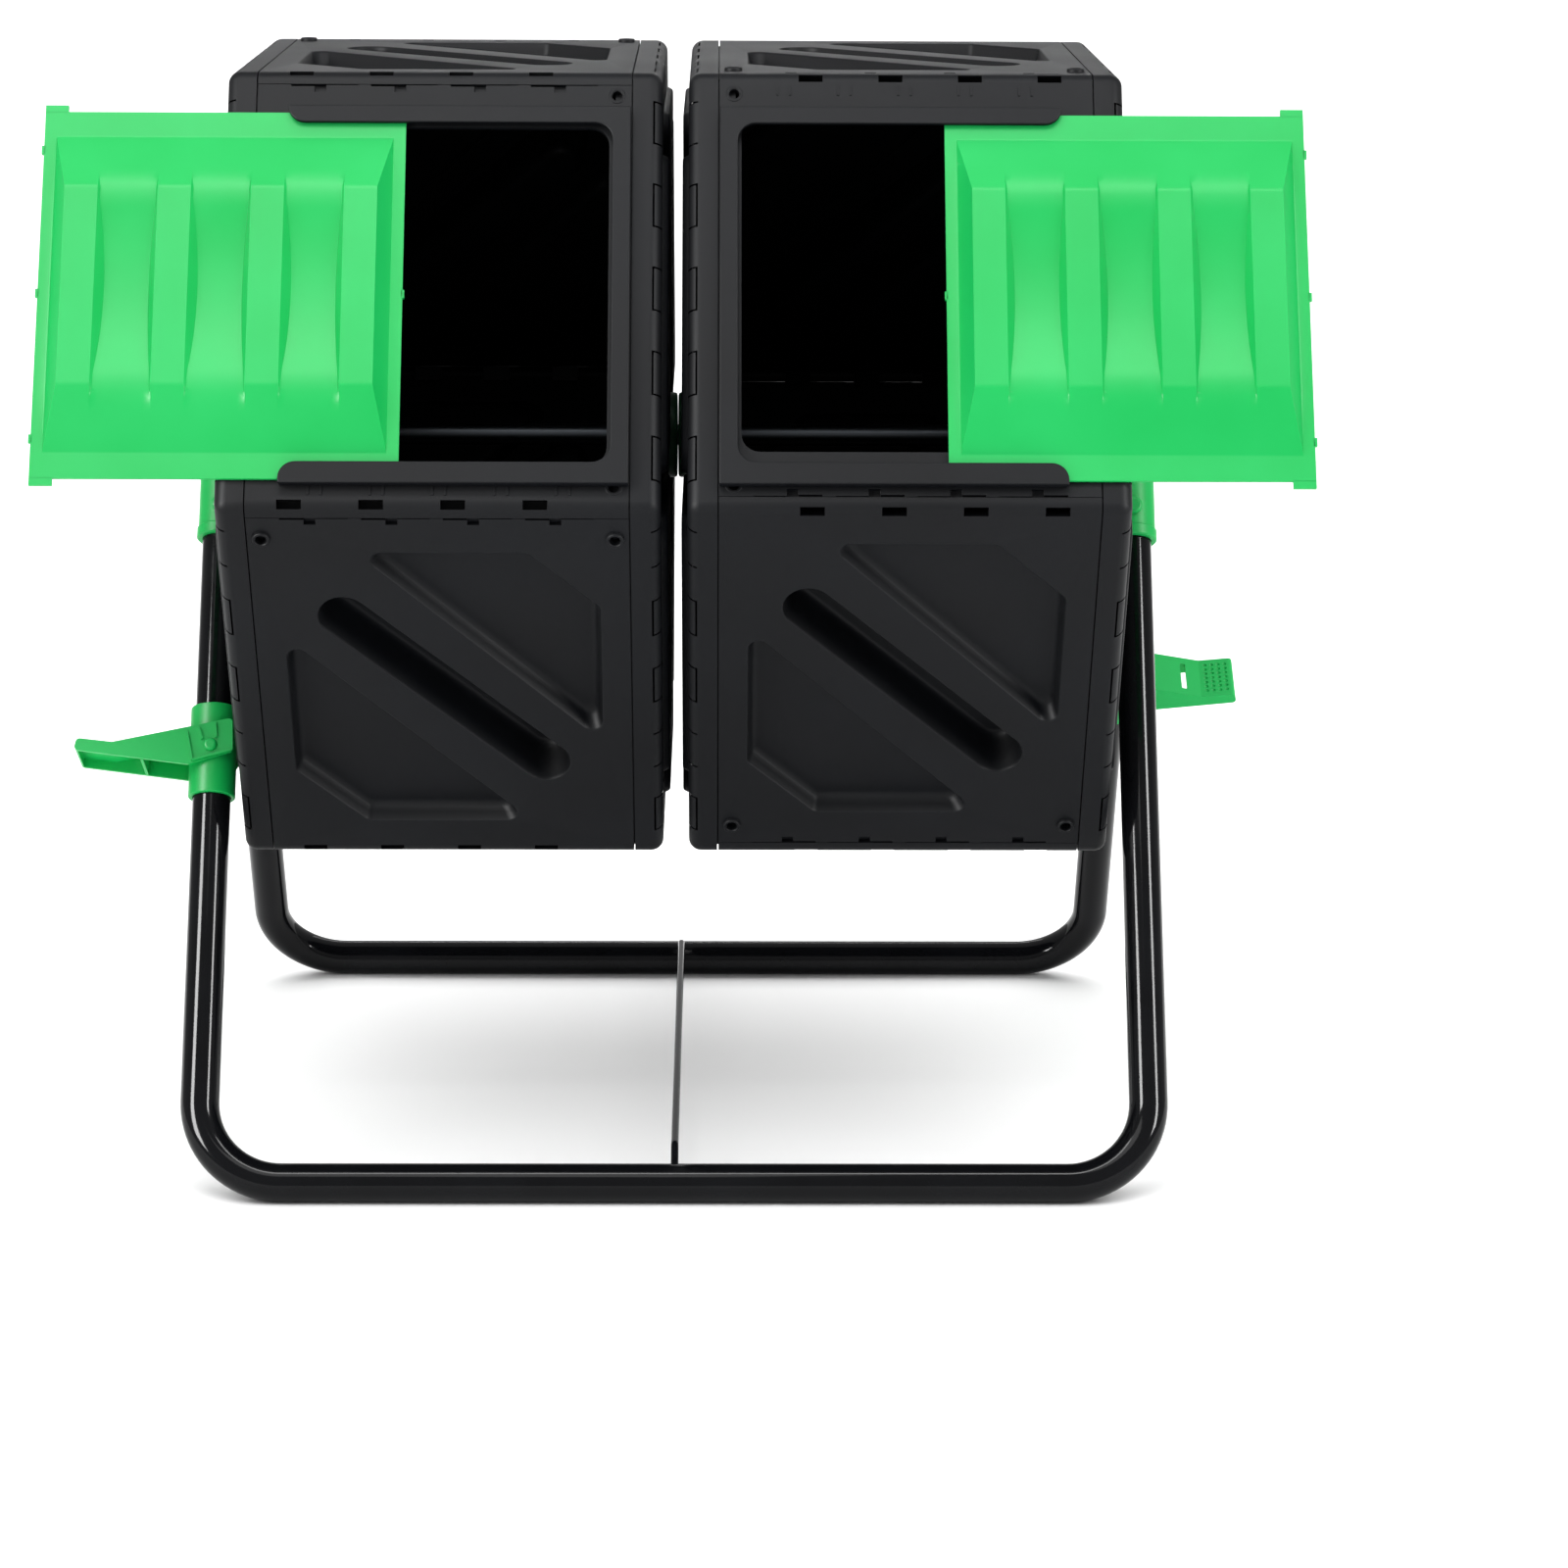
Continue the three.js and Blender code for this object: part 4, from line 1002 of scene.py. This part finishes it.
@dataclass
class EndCaps:
    """The dished end caps of the drums, with raised pads and a hub ring, and their running bushes."""

    drum: Drum
    fitter: Fitter
    depth: float = 21.0
    edge: float = 9.0
    wall: float = 3.6
    lip: float = 12.0
    pad_height: float = 4.6
    pad_inner: float = 84.0
    pad_outer: float = 252.0
    pad_spacing: float = 26.0
    hub: float = 58.0
    sleeve: float = 13.0
    bush: float = 32.0
    axle: float = 8.0
    tab_pitch: float = 63.0
    tab_tall: float = 31.8
    tab_from: float = 14.5
    gap: float = 0.3  # between pieces that touch
    leg: float = 341.0  # a leg's centre line from the middle
    bracket: float = 17.0  # half thickness of the top bracket
    # a pad's wall, as (in, up) from its foot
    pad_wall: tuple[Point, ...] = ((0.0, 0.0), (0.3, 0.8), (1.5, 3.2), (2.0, 3.9), (2.8, 4.4), (3.8, 4.6))

    def ring(self, bm: BMesh, height: float, radius: float, corner: float) -> list[BMEdge]:
        """Adds a hexagonal ring with rounded corners.

        Args:
            bm: the bmesh to add to.
            height: its height above the seam.
            radius: corner radius of the hexagon before rounding.
            corner: rounding of its corners.

        Returns:
            The ring's edges.
        """
        return add_loop(bm, rounded(circle((0, 0), radius, 6), corner), height)

    def plate(self, bm: BMesh, rim: Sequence[BMEdge], height: float, pads: bool) -> None:
        """Fills the inside of a ring, leaving a round hole for the hub.

        Args:
            bm: the bmesh that holds the ring.
            rim: the ring's edges.
            height: the plate's height.
            pads: whether the plate has raised pads.
        """
        edges = list(rim) + add_loop(bm, circle((0, 0), self.hub - 6, 48), height)
        for index in range(6 if pads else 0):
            pad = [(self.pad(index, inwards), height + rise) for inwards, rise in self.pad_wall]
            edges += lofted(bm, pad)
        fill_plate(bm, edges)

    def pad(self, index: int, inwards: float) -> list[Point]:
        """The outline of a raised pad.

        Args:
            index: which side of the hexagon it faces.
            inwards: how far the outline lies inside the pad's foot.

        Returns:
            The outline.
        """
        side = self.pad_spacing / 2 / COS_30
        near = self.pad_inner * TAN_30 - side
        far = self.pad_outer * TAN_30 - side
        foot = [
            (self.pad_inner, -near), (self.pad_outer, -far), (self.pad_outer, far), (self.pad_inner, near),
        ]
        turn = math.radians(30 + 60 * index)
        cos, sin = math.cos(turn), math.sin(turn)
        return [(x * cos - y * sin, x * sin + y * cos) for x, y in rounded(inset(foot, inwards), 14 - inwards)]

    def shell(self) -> BMesh:
        """The dish: rings from the face round the rim to the lip and back along the inside."""
        side, edge = self.drum.side, self.edge
        lip = side - (self.drum.wall + self.gap) / COS_30
        bm = bmesh.new()
        rings = []
        for step in range(8):
            turn = math.radians(90 - 90 * step / 7)
            back = edge * (1 - math.cos(turn)) / COS_30
            height = self.depth - edge + edge * math.sin(turn)
            rings.append(self.ring(bm, height, side - back, max(self.drum.corner - back * 0.9, 1.5)))
        for height, radius, corner in (
            (self.gap, side, self.drum.corner), (self.gap, lip, 6), (-self.lip, lip, 6),
            (-self.lip, lip - self.wall, 6), (self.depth - edge, lip - self.wall, 6),
            (self.depth - self.wall, side - edge * 1.6 - self.wall, 3),
        ):
            rings.append(self.ring(bm, height, radius, corner))
        for first, second in zip(rings, rings[1:]):
            bmesh.ops.bridge_loops(bm, edges=first + second)
        self.plate(bm, rings[0], self.depth, pads=True)
        self.plate(bm, rings[-1], self.depth - self.wall, pads=False)
        holes = [[e for e in bm.edges if e.is_boundary and abs(e.verts[0].co.z - z) < 0.1]
                 for z in (self.depth, self.depth - self.wall)]
        bmesh.ops.bridge_loops(bm, edges=holes[0] + holes[1])
        return outward(bm)

    def tab_grooves(self) -> BMesh:
        """The fine C-shaped grooves round the snap tabs, five on each side of the hexagon's rim."""
        parts = []
        apothem, edge = self.drum.apothem, self.edge
        centre = (apothem - edge, self.depth - edge)
        start = math.degrees(math.asin((self.tab_from - centre[1]) / edge))
        band = arc(centre, edge + 1.5, start, 100, 8) + arc(centre, edge - 1.6, 100, start, 8)
        cross = arc(centre, edge + 1.5, start, start + 9, 2) + arc(centre, edge - 1.6, start + 9, start, 2)
        for index in range(6):
            turn = Matrix.Rotation(math.radians(30 + 60 * index), 4, "Z")
            stand = Matrix.Rotation(math.pi / 2, 4, "X")
            for k in range(-2, 3):
                middle = k * self.tab_pitch
                for way in (-1, 1):
                    y = -(middle + way * self.tab_tall / 2)
                    parts.append(moved(prism(band, y - 0.65, y + 0.65), turn @ stand))
                y = -middle
                parts.append(moved(prism(cross, y - self.tab_tall / 2, y + self.tab_tall / 2), turn @ stand))
        return merged(*parts)

    def hub_ring(self) -> BMesh:
        """The hub: a raised ring, and the seat that the bush sits in."""
        top, hub, bore = self.depth + self.pad_height * 0.4, self.hub, self.sleeve + self.gap
        floor = self.depth - 7.2
        ring = spun([
            (top, bore), (top, 50), (top, hub - 1.6), (top - 0.5, hub - 0.4), (top - 1.6, hub),
            (-self.lip, hub), (-self.lip, hub - 5), (floor, hub - 5), (floor, 24), (-self.lip, 24),
            (-self.lip, bore),
        ], steps=72)
        return moved(ring, X_TO_Z)

    def bush_disc(self, reach: float) -> BMesh:
        """A flanged bush that fills the room to its neighbour."""
        seat = self.depth + self.pad_height * 0.4 + self.gap
        bore, disc, face = self.axle + 0.4, self.bush, seat + reach
        ring = spun([
            (-self.lip, bore), (face, bore), (face, disc - 2), (face - 0.6, disc - 0.6), (face - 2, disc),
            (seat, disc), (seat, self.sleeve), (-self.lip, self.sleeve),
        ], steps=64)
        return moved(ring, X_TO_Z)

    def build(self) -> None:
        """Makes the four caps and their bushes."""
        shell = carved(self.shell(), self.tab_grooves())
        hub = self.hub_ring()
        face = self.drum.centre + self.drum.panel_width / 2 + self.depth + self.pad_height * 0.4 + self.gap
        inner = self.drum.centre * 2 - face - self.gap
        for hand in Hand:
            for end in End:
                body, word = f"{hand.word}_drum", f"{hand.word}_{end.name.lower()}"
                place = self.drum.cap_place(hand, hand.value * end.value)
                self.fitter.fit(
                    f"{word}_cap_dish", merged(shell.copy(), hub.copy()), place, body,
                    Slot.BLACK_PLASTIC, f"{word}_cap", Softening(0.5, 2, 50),
                )
                reach = inner if end is End.INNER else self.leg - self.bracket - face - self.gap
                # the bushes wear the darkened green, which paints in the shade of the gaps round them
                self.fitter.fit(
                    f"{word}_bush_disc", self.bush_disc(reach), place, body,
                    Slot.DARK_GREEN_PLASTIC, f"{word}_bush",
                )
        shell.free()
        hub.free()


# ---- stand ---------------------------------------------------------------------------------


def bent_path(corners: Sequence[Vector], radius: float, steps: int) -> list[Vector]:
    """The centre line of a bar bent at each inner corner.

    Args:
        corners: the line's ends and corners.
        radius: the bend radius.
        steps: pieces in each bend.

    Returns:
        Points along the line.
    """
    points = [corners[0]]
    for before, corner, after in zip(corners, corners[1:], corners[2:]):
        back, on = (before - corner).normalized(), (after - corner).normalized()
        half = back.angle(on) / 2
        centre = corner + (back + on).normalized() * (radius / math.sin(half))
        start = (corner + back * (radius / math.tan(half)) - centre).normalized()
        end = (corner + on * (radius / math.tan(half)) - centre).normalized()
        points += [centre + start.slerp(end, k / steps) * radius for k in range(steps + 1)]
    return points + [corners[-1]]


@dataclass(frozen=True)
class Stand:
    """Sizes that the stand's pieces share."""

    axis_height: float = 506.0
    leg_x: float = 341.0
    foot_y: float = 304.0
    tube: float = 14.0
    tube_wall: float = 1.5
    bar_height: float = 13.52

    @property
    def lean(self) -> float:
        """The legs' lean from the vertical, in radians."""
        return math.atan2(self.foot_y, self.axis_height - self.bar_height)

    def leg_point(self, x: float, way: int, from_axle: float) -> Vector:
        """A point on a leg's centre line.

        Args:
            x: which end of the stand.
            way: -1 for a front leg and 1 for a rear one.
            from_axle: distance along the leg from the axle.

        Returns:
            The point.
        """
        return Vector((
            x, way * from_axle * math.sin(self.lean), self.axis_height - from_axle * math.cos(self.lean),
        ))

    def heading(self, way: int) -> Vector:
        """Down along a leg."""
        return Vector((0, way * math.sin(self.lean), -math.cos(self.lean)))

    def face(self, way: int) -> Vector:
        """Out of a leg's upper face, square to the leg and to the axle."""
        return Vector((0, way * math.cos(self.lean), math.sin(self.lean)))


def aimed(origin: Vector, along: Vector) -> Matrix:
    """A place whose X axis points along a direction."""
    return Matrix.Translation(origin) @ along.to_track_quat("X", "Z").to_matrix().to_4x4()


def domed_pin(radius: float, reach: float, head: float, cap: float) -> BMesh:
    """A pin along X with a domed head on each end.

    Args:
        radius: the pin's radius.
        reach: from its middle to the underside of a head.
        head: a head's radius.
        cap: a head's height.

    Returns:
        The closed pin.
    """
    dome = arc((reach + cap - 2.2, head - 2.2), 2.2, 0, 90, 4)
    right = [(reach + cap, 0.0), (reach + cap, head * 0.45)] + dome + [(reach, head), (reach, radius)]
    return spun(right + [(-x, r) for x, r in right[::-1]], steps=32, closed=False)


@dataclass
class LegFrames:
    """The two bent tubes, each a pair of legs with its ground bar, and the tie rod between them."""

    stand: Stand
    fitter: Fitter
    bend: float = 60.0
    leg_top: float = 34.0
    rod: float = 2.75
    hook: float = 12.0
    press_reach: float = 34.0  # from a bend's middle to where its pressed part fades out
    press_depth: float = 1.5
    ripple: float = 0.45
    ripple_pitch: float = 9.0

    def tube(self, way: int) -> BMesh:
        """One bent tube, front or rear, with slightly flattened bends."""
        stand = self.stand
        foot = [Vector((s * stand.leg_x, way * stand.foot_y, stand.bar_height)) for s in (-1, 1)]
        ends = [stand.leg_point(s * stand.leg_x, way, self.leg_top) for s in (-1, 1)]
        line = bent_path([ends[0], *foot, ends[1]], self.bend, 22)
        bm = rings_through(line, stand.tube, 32)
        for vert in bm.verts:
            for corner in foot:
                self.flatten(vert, corner, way)
        return bm

    def flatten(self, vert: BMVert, corner: Vector, way: int) -> None:
        """Presses a bend's inner side in a little, in shallow ripples, as a tube bender does.

        Args:
            vert: the vertex to move.
            corner: where the leg's and the bar's centre lines meet.
            way: -1 for the front tube and 1 for the rear one.
        """
        down, out = self.stand.heading(way), Vector((math.copysign(1, corner.x), 0, 0))
        inward = (down * -1 - out).normalized()
        offset = vert.co - corner
        along, across = offset.dot(inward), offset.dot((down + out).normalized())
        if 14 < along < 60 and abs(across) < self.press_reach:
            fade = math.cos(math.pi * across / (2 * self.press_reach)) ** 2
            inner = min(max((along - 26 - abs(across) * 0.75) / 12, 0.0), 1.0)
            ripple = self.ripple * math.cos(across * 2 * math.pi / self.ripple_pitch)
            vert.co -= inward * fade * inner * (self.press_depth + ripple)

    def build(self) -> None:
        """Makes both tubes and the rod."""
        stand = self.stand
        for way, word in ((-1, "front"), (1, "rear")):
            self.fitter.fit(
                f"{word}_tube", self.tube(way), Matrix(), "frame", Slot.GLOSS_BLACK_PAINT,
                f"{word}_leg_frame", smooth_under=50,
            )
        rise = 2 * stand.tube + self.rod + 3
        bends = [Vector((0, way * (stand.foot_y - self.hook - stand.tube), rise)) for way in (-1, 1)]
        bars = [Vector((0, way * stand.foot_y, stand.bar_height)) for way in (-1, 1)]
        sunk = stand.tube - stand.tube_wall - 1
        plugs = [bar - (bar - bend).normalized() * sunk for bar, bend in zip(bars, bends)]
        line = bent_path([plugs[0], *bends, plugs[1]], 8, 8)
        self.fitter.fit(
            "tie_bar", rings_through(line, self.rod, 20), Matrix(), "frame", Slot.GLOSS_BLACK_PAINT,
            "tie_rod", smooth_under=50,
        )


@dataclass
class AxleEnds:
    """The axle, its end caps, and the moulded brackets that join the legs at the top."""

    stand: Stand
    fitter: Fitter
    axle: float = 8.0
    overhang: float = 26.0
    boss: float = 24.0
    boss_half: float = 17.0
    sleeve: float = 17.3
    sleeve_start: float = 22.0
    sleeve_end: float = 86.0
    bolt_from_axle: float = 63.5
    cap: float = 13.0
    gap: float = 0.3  # between pieces that touch

    def bracket(self, hand: Hand) -> BMesh:
        """One bracket: two sleeves, the axle's boss and the web between them."""
        stand, half = self.stand, self.boss_half
        origin = Vector((hand.value * stand.leg_x, 0, stand.axis_height))
        start, end = self.sleeve_start, self.sleeve_end
        body = moved(bar(-half, half, self.boss, 2, 48), Matrix.Translation(origin))
        for way in (-1, 1):
            sleeve = spun([(start, 0), (start, self.sleeve), (end - 9, self.sleeve), (end - 8, self.sleeve + 1),
                           (end - 1, self.sleeve + 1), (end, self.sleeve), (end, 0)], steps=48, closed=False)
            body = carved(body, moved(sleeve, aimed(origin, stand.heading(way))), "UNION")
        reach = end * 0.72
        side, drop = reach * math.sin(stand.lean), reach * math.cos(stand.lean)
        web = prism([(0, 18), (-side, -drop), (0, -reach * 0.66), (side, -drop)], -4, 4)
        upright = Matrix(((0, 0, 1), (1, 0, 0), (0, 1, 0))).to_4x4()
        body = carved(body, moved(web, Matrix.Translation(origin) @ upright), "UNION")
        bores = [
            moved(bar(start + 11.7, end + 5, stand.tube + self.gap, 0, 48), aimed(origin, stand.heading(way)))
            for way in (-1, 1)
        ]
        bores.append(moved(bar(-40, 40, self.axle + self.gap, 0, 32), Matrix.Translation(origin)))
        return carved(body, merged(*bores))

    def build(self) -> None:
        """Makes the axle and both ends' brackets, bolts and caps."""
        stand, fit = self.stand, self.fitter.fit
        end = stand.leg_x + self.overhang
        middle = Matrix.Translation((0, 0, stand.axis_height))
        fit("axle_rod", bar(-end, end, self.axle, 1, 40), middle, "frame", Slot.ZINC_STEEL, "axle")
        seat, bore = stand.leg_x + self.boss_half + self.gap, self.axle + self.gap
        for hand in Hand:
            word = hand.word
            fit(f"{word}_bracket", self.bracket(hand), Matrix(), "frame", Slot.GREEN_PLASTIC,
                f"{word}_top_bracket", Softening(0.8, 3, 30))
            inside = [(end + self.gap, 0.0), (end + self.gap, bore), (seat, bore)]
            dome = arc((end, self.cap - 4.3), 4.3, 90, 0, 6)
            cap = spun(inside + [(seat, self.cap)] + dome + [(end + 4.3, 0.0)], steps=40, closed=False)
            flip = Matrix.Scale(hand.value, 4, (1, 0, 0))
            fit(f"{word}_end_cap", cap, middle @ flip, "frame", Slot.GREEN_PLASTIC,
                f"{word}_axle_cap", Softening(0.6, 2, 40))
            for way, place in ((-1, "front"), (1, "rear")):
                origin = stand.leg_point(hand.value * stand.leg_x, way, self.bolt_from_axle)
                fit(f"{word}_{place}_bolt", domed_pin(3, self.sleeve + self.gap, 6.5, 4),
                    aimed(origin, stand.face(way)), "frame", Slot.GREEN_PLASTIC,
                    f"{word}_{place}_bracket_bolt", smooth_under=50)


@dataclass
class Locks:
    """The levers that hold the drums still: a channel-shaped handle on a collar round one leg of each end."""

    stand: Stand
    fitter: Fitter
    from_axle: float = 255.0
    collar: float = 17.3
    collar_length: float = 69.0
    gap: float = 1.0
    cheek: float = 2.6
    reach: float = 98.0
    nose: float = 16.5
    top: float = 21.0
    bottom: float = 15.0
    paddle: float = 9.0
    pin_head: float = 5.0
    knee: Point = (-72.0, 2.0)  # where the handle's back turns up to the paddle
    tip: float = 5.0  # height of the paddle's back edge
    slit: Point = (-60.8, -56.8)
    dents: tuple[int, int] = (4, 7)
    dent_radius: float = 2.0
    dent_pitch: Point = (5.2, 4.8)
    dent_start: Point = (-76.5, 3.4)
    # the cheeks' stiffening ribs, as (from, to)
    rib_runs: tuple[tuple[Point, Point], ...] = (
        ((-17.5, 9.5), (-13.0, -12.0)), ((-9.0, 13.0), (-6.0, 4.0)), ((3.0, 17.0), (4.2, 5.5)),
        ((-13.0, -12.0), (15.0, -4.2)),
    )

    def place(self, hand: Hand) -> Matrix:
        """The lock's frame: X towards the drum, Y into the leg's face, Z up the leg."""
        way, stand = hand.value, self.stand
        axes = Matrix((Vector((-way, 0, 0)), -stand.face(way), -stand.heading(way)))
        origin = stand.leg_point(way * stand.leg_x, way, self.from_axle)
        return Matrix.Translation(origin) @ axes.transposed().to_4x4()

    def sleeve(self) -> BMesh:
        """The collar round the leg."""
        half, radius, bore = self.collar_length / 2, self.collar, self.stand.tube + 0.3
        ring = spun([(-half, bore), (-half, radius - 0.7), (-half + 0.7, radius), (half - 0.7, radius),
                     (half, radius - 0.7), (half, bore)], steps=48)
        return moved(ring, X_TO_Z)

    def lever(self) -> BMesh:
        """The handle: two cheeks on the pin, and a channel that ends in an upturned paddle."""
        outer = self.collar + self.gap + self.cheek
        inside = outer - self.cheek
        web = -(self.collar + self.gap)
        stand_up = Matrix.Rotation(math.pi / 2, 4, "X")
        (knee, back), end, wall = self.knee, -self.reach, self.cheek
        outline = [(self.nose, -5), (self.nose - 1, self.top), (-14, self.top - 6.5), (knee, back),
                   (end, self.tip), (end - 2, self.tip - self.paddle), (-16, -self.bottom)]
        body = moved(prism(rounded(outline, 3.0, 5), -outer, outer), stand_up)
        cavity = [(web + 1, -self.bottom - 9), (end + 1, -self.paddle - 2), (end + 1, self.tip - wall),
                  (knee, back - wall), (web + 1, self.top - 7.5 - wall)]
        body = carved(body, moved(prism(cavity, -inside, inside), stand_up))
        body = carved(body, block(web, 60, -inside, inside, -60, 60))
        body = carved(body, block(-51, -49, -inside - 0.2, inside + 0.2, -11, 3), "UNION")
        holes = [prism(rounded(rectangle(*self.slit, -14, 14), 1.0), -2, 14)]
        (rows, columns), (x, z) = self.dents, self.dent_start
        for row in range(rows):
            for k in range(columns):
                dent = bmesh.new()
                bmesh.ops.create_icosphere(dent, subdivisions=2, radius=self.dent_radius)
                place = (x - row * self.dent_pitch[0], (k - columns // 2) * self.dent_pitch[1], z + row * 0.6)
                holes.append(moved(dent, Matrix.Translation(place)))
        return merged(carved(body, merged(*holes)), *self.cheek_ribs(outer))

    def cheek_ribs(self, outer: float) -> list[BMesh]:
        """Low stiffening ribs on both cheeks, round the pin."""
        ribs = []
        for (x0, z0), (x1, z1) in self.rib_runs:
            length, turn = math.hypot(x1 - x0, z1 - z0), math.atan2(z1 - z0, x1 - x0)
            for way in (-1, 1):
                rib = block(0, length, way * (outer + 0.6) - 1.2, way * (outer + 0.6) + 1.2, -0.9, 0.9)
                ribs.append(moved(rib, Matrix.Translation((x0, 0, z0)) @ Matrix.Rotation(-turn, 4, "Y")))
        return ribs

    def build(self) -> None:
        """Makes both locks."""
        fit, reach = self.fitter.fit, self.collar + self.gap + self.cheek + 0.3
        for hand in Hand:
            word, place = hand.word, self.place(hand)
            fit(f"{word}_collar", self.sleeve(), place, "frame", Slot.GREEN_PLASTIC, f"{word}_lock_collar")
            fit(f"{word}_lever", self.lever(), place, f"{word}_lever", Slot.GREEN_PLASTIC,
                f"{word}_lock_lever", Softening(0.5, 2, 40))
            fit(f"{word}_pin", domed_pin(3, reach, self.pin_head, 2.4),
                place @ Matrix.Rotation(math.pi / 2, 4, "Z"), "frame", Slot.GREEN_PLASTIC,
                f"{word}_lock_pin", smooth_under=50)


# ---- studio --------------------------------------------------------------------------------


@dataclass
class Studio:
    """A pale floor, soft lights all round and the camera."""

    focal: float = 106.6
    pitch: float = 13.236
    yaw: float = 0.809
    roll: float = 0.286
    eye: tuple[float, float, float] = (0.0322, -3.4717, 1.052)
    softboxes: tuple[tuple[str, tuple[float, float, float], tuple[float, float], float], ...] = (
        ("ceiling", (0.0, 3.0, 9.0), (26.0, 26.0), 3400.0),
        ("key", (-0.6, -1.7, 3.0), (1.6, 1.0), 18.0),
        ("left_strip", (-2.2, -1.8, 1.5), (0.8, 1.8), 220.0),
        ("right_strip", (2.4, -1.5, 1.6), (0.5, 1.8), 120.0),
        ("top_strip", (0.0, -0.9, 2.4), (1.8, 0.3), 30.0),
        ("behind", (0.3, 2.8, 1.8), (2.4, 0.06), 8.0),
    )

    def floor(self) -> None:
        """Lays a wide pale floor."""
        bm = bmesh.new()
        bmesh.ops.create_grid(bm, x_segments=1, y_segments=1, size=30)
        mesh = bpy.data.meshes.new("floor")
        bm.to_mesh(mesh)
        bm.free()
        floor = bpy.data.objects.new("floor", mesh)
        bpy.context.collection.objects.link(floor)
        paper = bpy.data.materials.new("matt_white_backdrop_paper")
        paper.use_nodes = True
        shader = paper.node_tree.nodes["Principled BSDF"]
        shader.inputs["Base Color"].default_value = linear("ffffff")
        shader.inputs["Roughness"].default_value = 0.9
        mesh.materials.append(paper)

    def lights(self) -> None:
        """Hangs the softboxes, aimed at the middle of the tumbler, in a white room."""
        for name, place, size, power in self.softboxes:
            lamp = bpy.data.lights.new(name, "AREA")
            lamp.shape = "RECTANGLE"
            lamp.size, lamp.size_y = size
            lamp.energy = power
            holder = bpy.data.objects.new(name, lamp)
            holder.location = place
            if name.endswith("strip"):
                holder.visible_diffuse = False
            if name == "ceiling":
                holder.visible_glossy = False
            else:
                aim = Vector((0, 0, 0.45)) - Vector(place)
                holder.rotation_euler = aim.to_track_quat("-Z", "Y").to_euler()
            bpy.context.collection.objects.link(holder)
        world = bpy.data.worlds.new("white_room")
        world.use_nodes = True
        room = world.node_tree.nodes["Background"]
        room.inputs["Color"].default_value = (1.0, 1.0, 1.0, 1.0)
        room.inputs["Strength"].default_value = 0.55
        bpy.context.scene.world = world
        bpy.context.scene.view_settings.view_transform = "Standard"

    def camera(self) -> None:
        """Sets up the camera in front of the doors, a little above them."""
        down, turn, roll = math.radians(self.pitch), math.radians(self.yaw), math.radians(self.roll)
        ahead = Vector((math.sin(turn) * math.cos(down), math.cos(turn) * math.cos(down), -math.sin(down)))
        right = Vector((math.cos(turn), -math.sin(turn), 0))
        up = right.cross(ahead)
        across = right * math.cos(roll) + up * math.sin(roll)
        upright = up * math.cos(roll) - right * math.sin(roll)
        lens = bpy.data.cameras.new("camera")
        lens.lens = self.focal
        lens.sensor_width = 36.0
        lens.clip_end = 100.0
        camera = bpy.data.objects.new("camera", lens)
        basis = Matrix((across, upright, -ahead)).transposed().to_4x4()
        camera.matrix_world = Matrix.Translation(self.eye) @ basis
        bpy.context.collection.objects.link(camera)
        bpy.context.scene.camera = camera

    def build(self) -> None:
        """Sets up the whole studio."""
        self.floor()
        self.lights()
        self.camera()


def finishes() -> dict[Slot, bpy.types.Material]:
    """Builds the finish of each slot."""
    return {
        Slot.BLACK_PLASTIC: MouldedPlastic(
            "textured_black_polypropylene", base="07080b", light="0b0d11", specular=0.14,
        ).build(),
        Slot.GREEN_PLASTIC: MouldedPlastic(
            "satin_green_polypropylene", base="0cac4e", light="18b558", specular=0.2, roughness=0.38,
            grain_mm=1.2, grain_depth=0.05,
        ).build(),
        # painted shade: the same green polypropylene, darkened for the shade that falls on the bushes in the
        # gaps
        Slot.DARK_GREEN_PLASTIC: MouldedPlastic(
            "shaded_green_polypropylene", base="003218", light="0a4526", roughness=0.42, grain_depth=0.05,
        ).build(),
        Slot.GLOSS_BLACK_PAINT: TubeEnamel("gloss_black_enamel").build(),
        Slot.ZINC_STEEL: ZincSteel("zinc_plated_steel").build(),
    }


def main() -> None:
    """Builds the tumbler's looks and its studio in order."""
    logging.basicConfig(level=logging.INFO, format="%(name)s: %(message)s")
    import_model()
    fitter = Fitter(finishes())
    drum, stand = Drum(), Stand()
    SidePanels(drum, fitter).build()
    DoorFrames(drum, fitter).build()
    Doors(drum, fitter).build()
    EndCaps(drum, fitter).build()
    LegFrames(stand, fitter).build()
    AxleEnds(stand, fitter).build()
    Locks(stand, fitter).build()
    Studio().build()


if __name__ == "__main__":
    main()
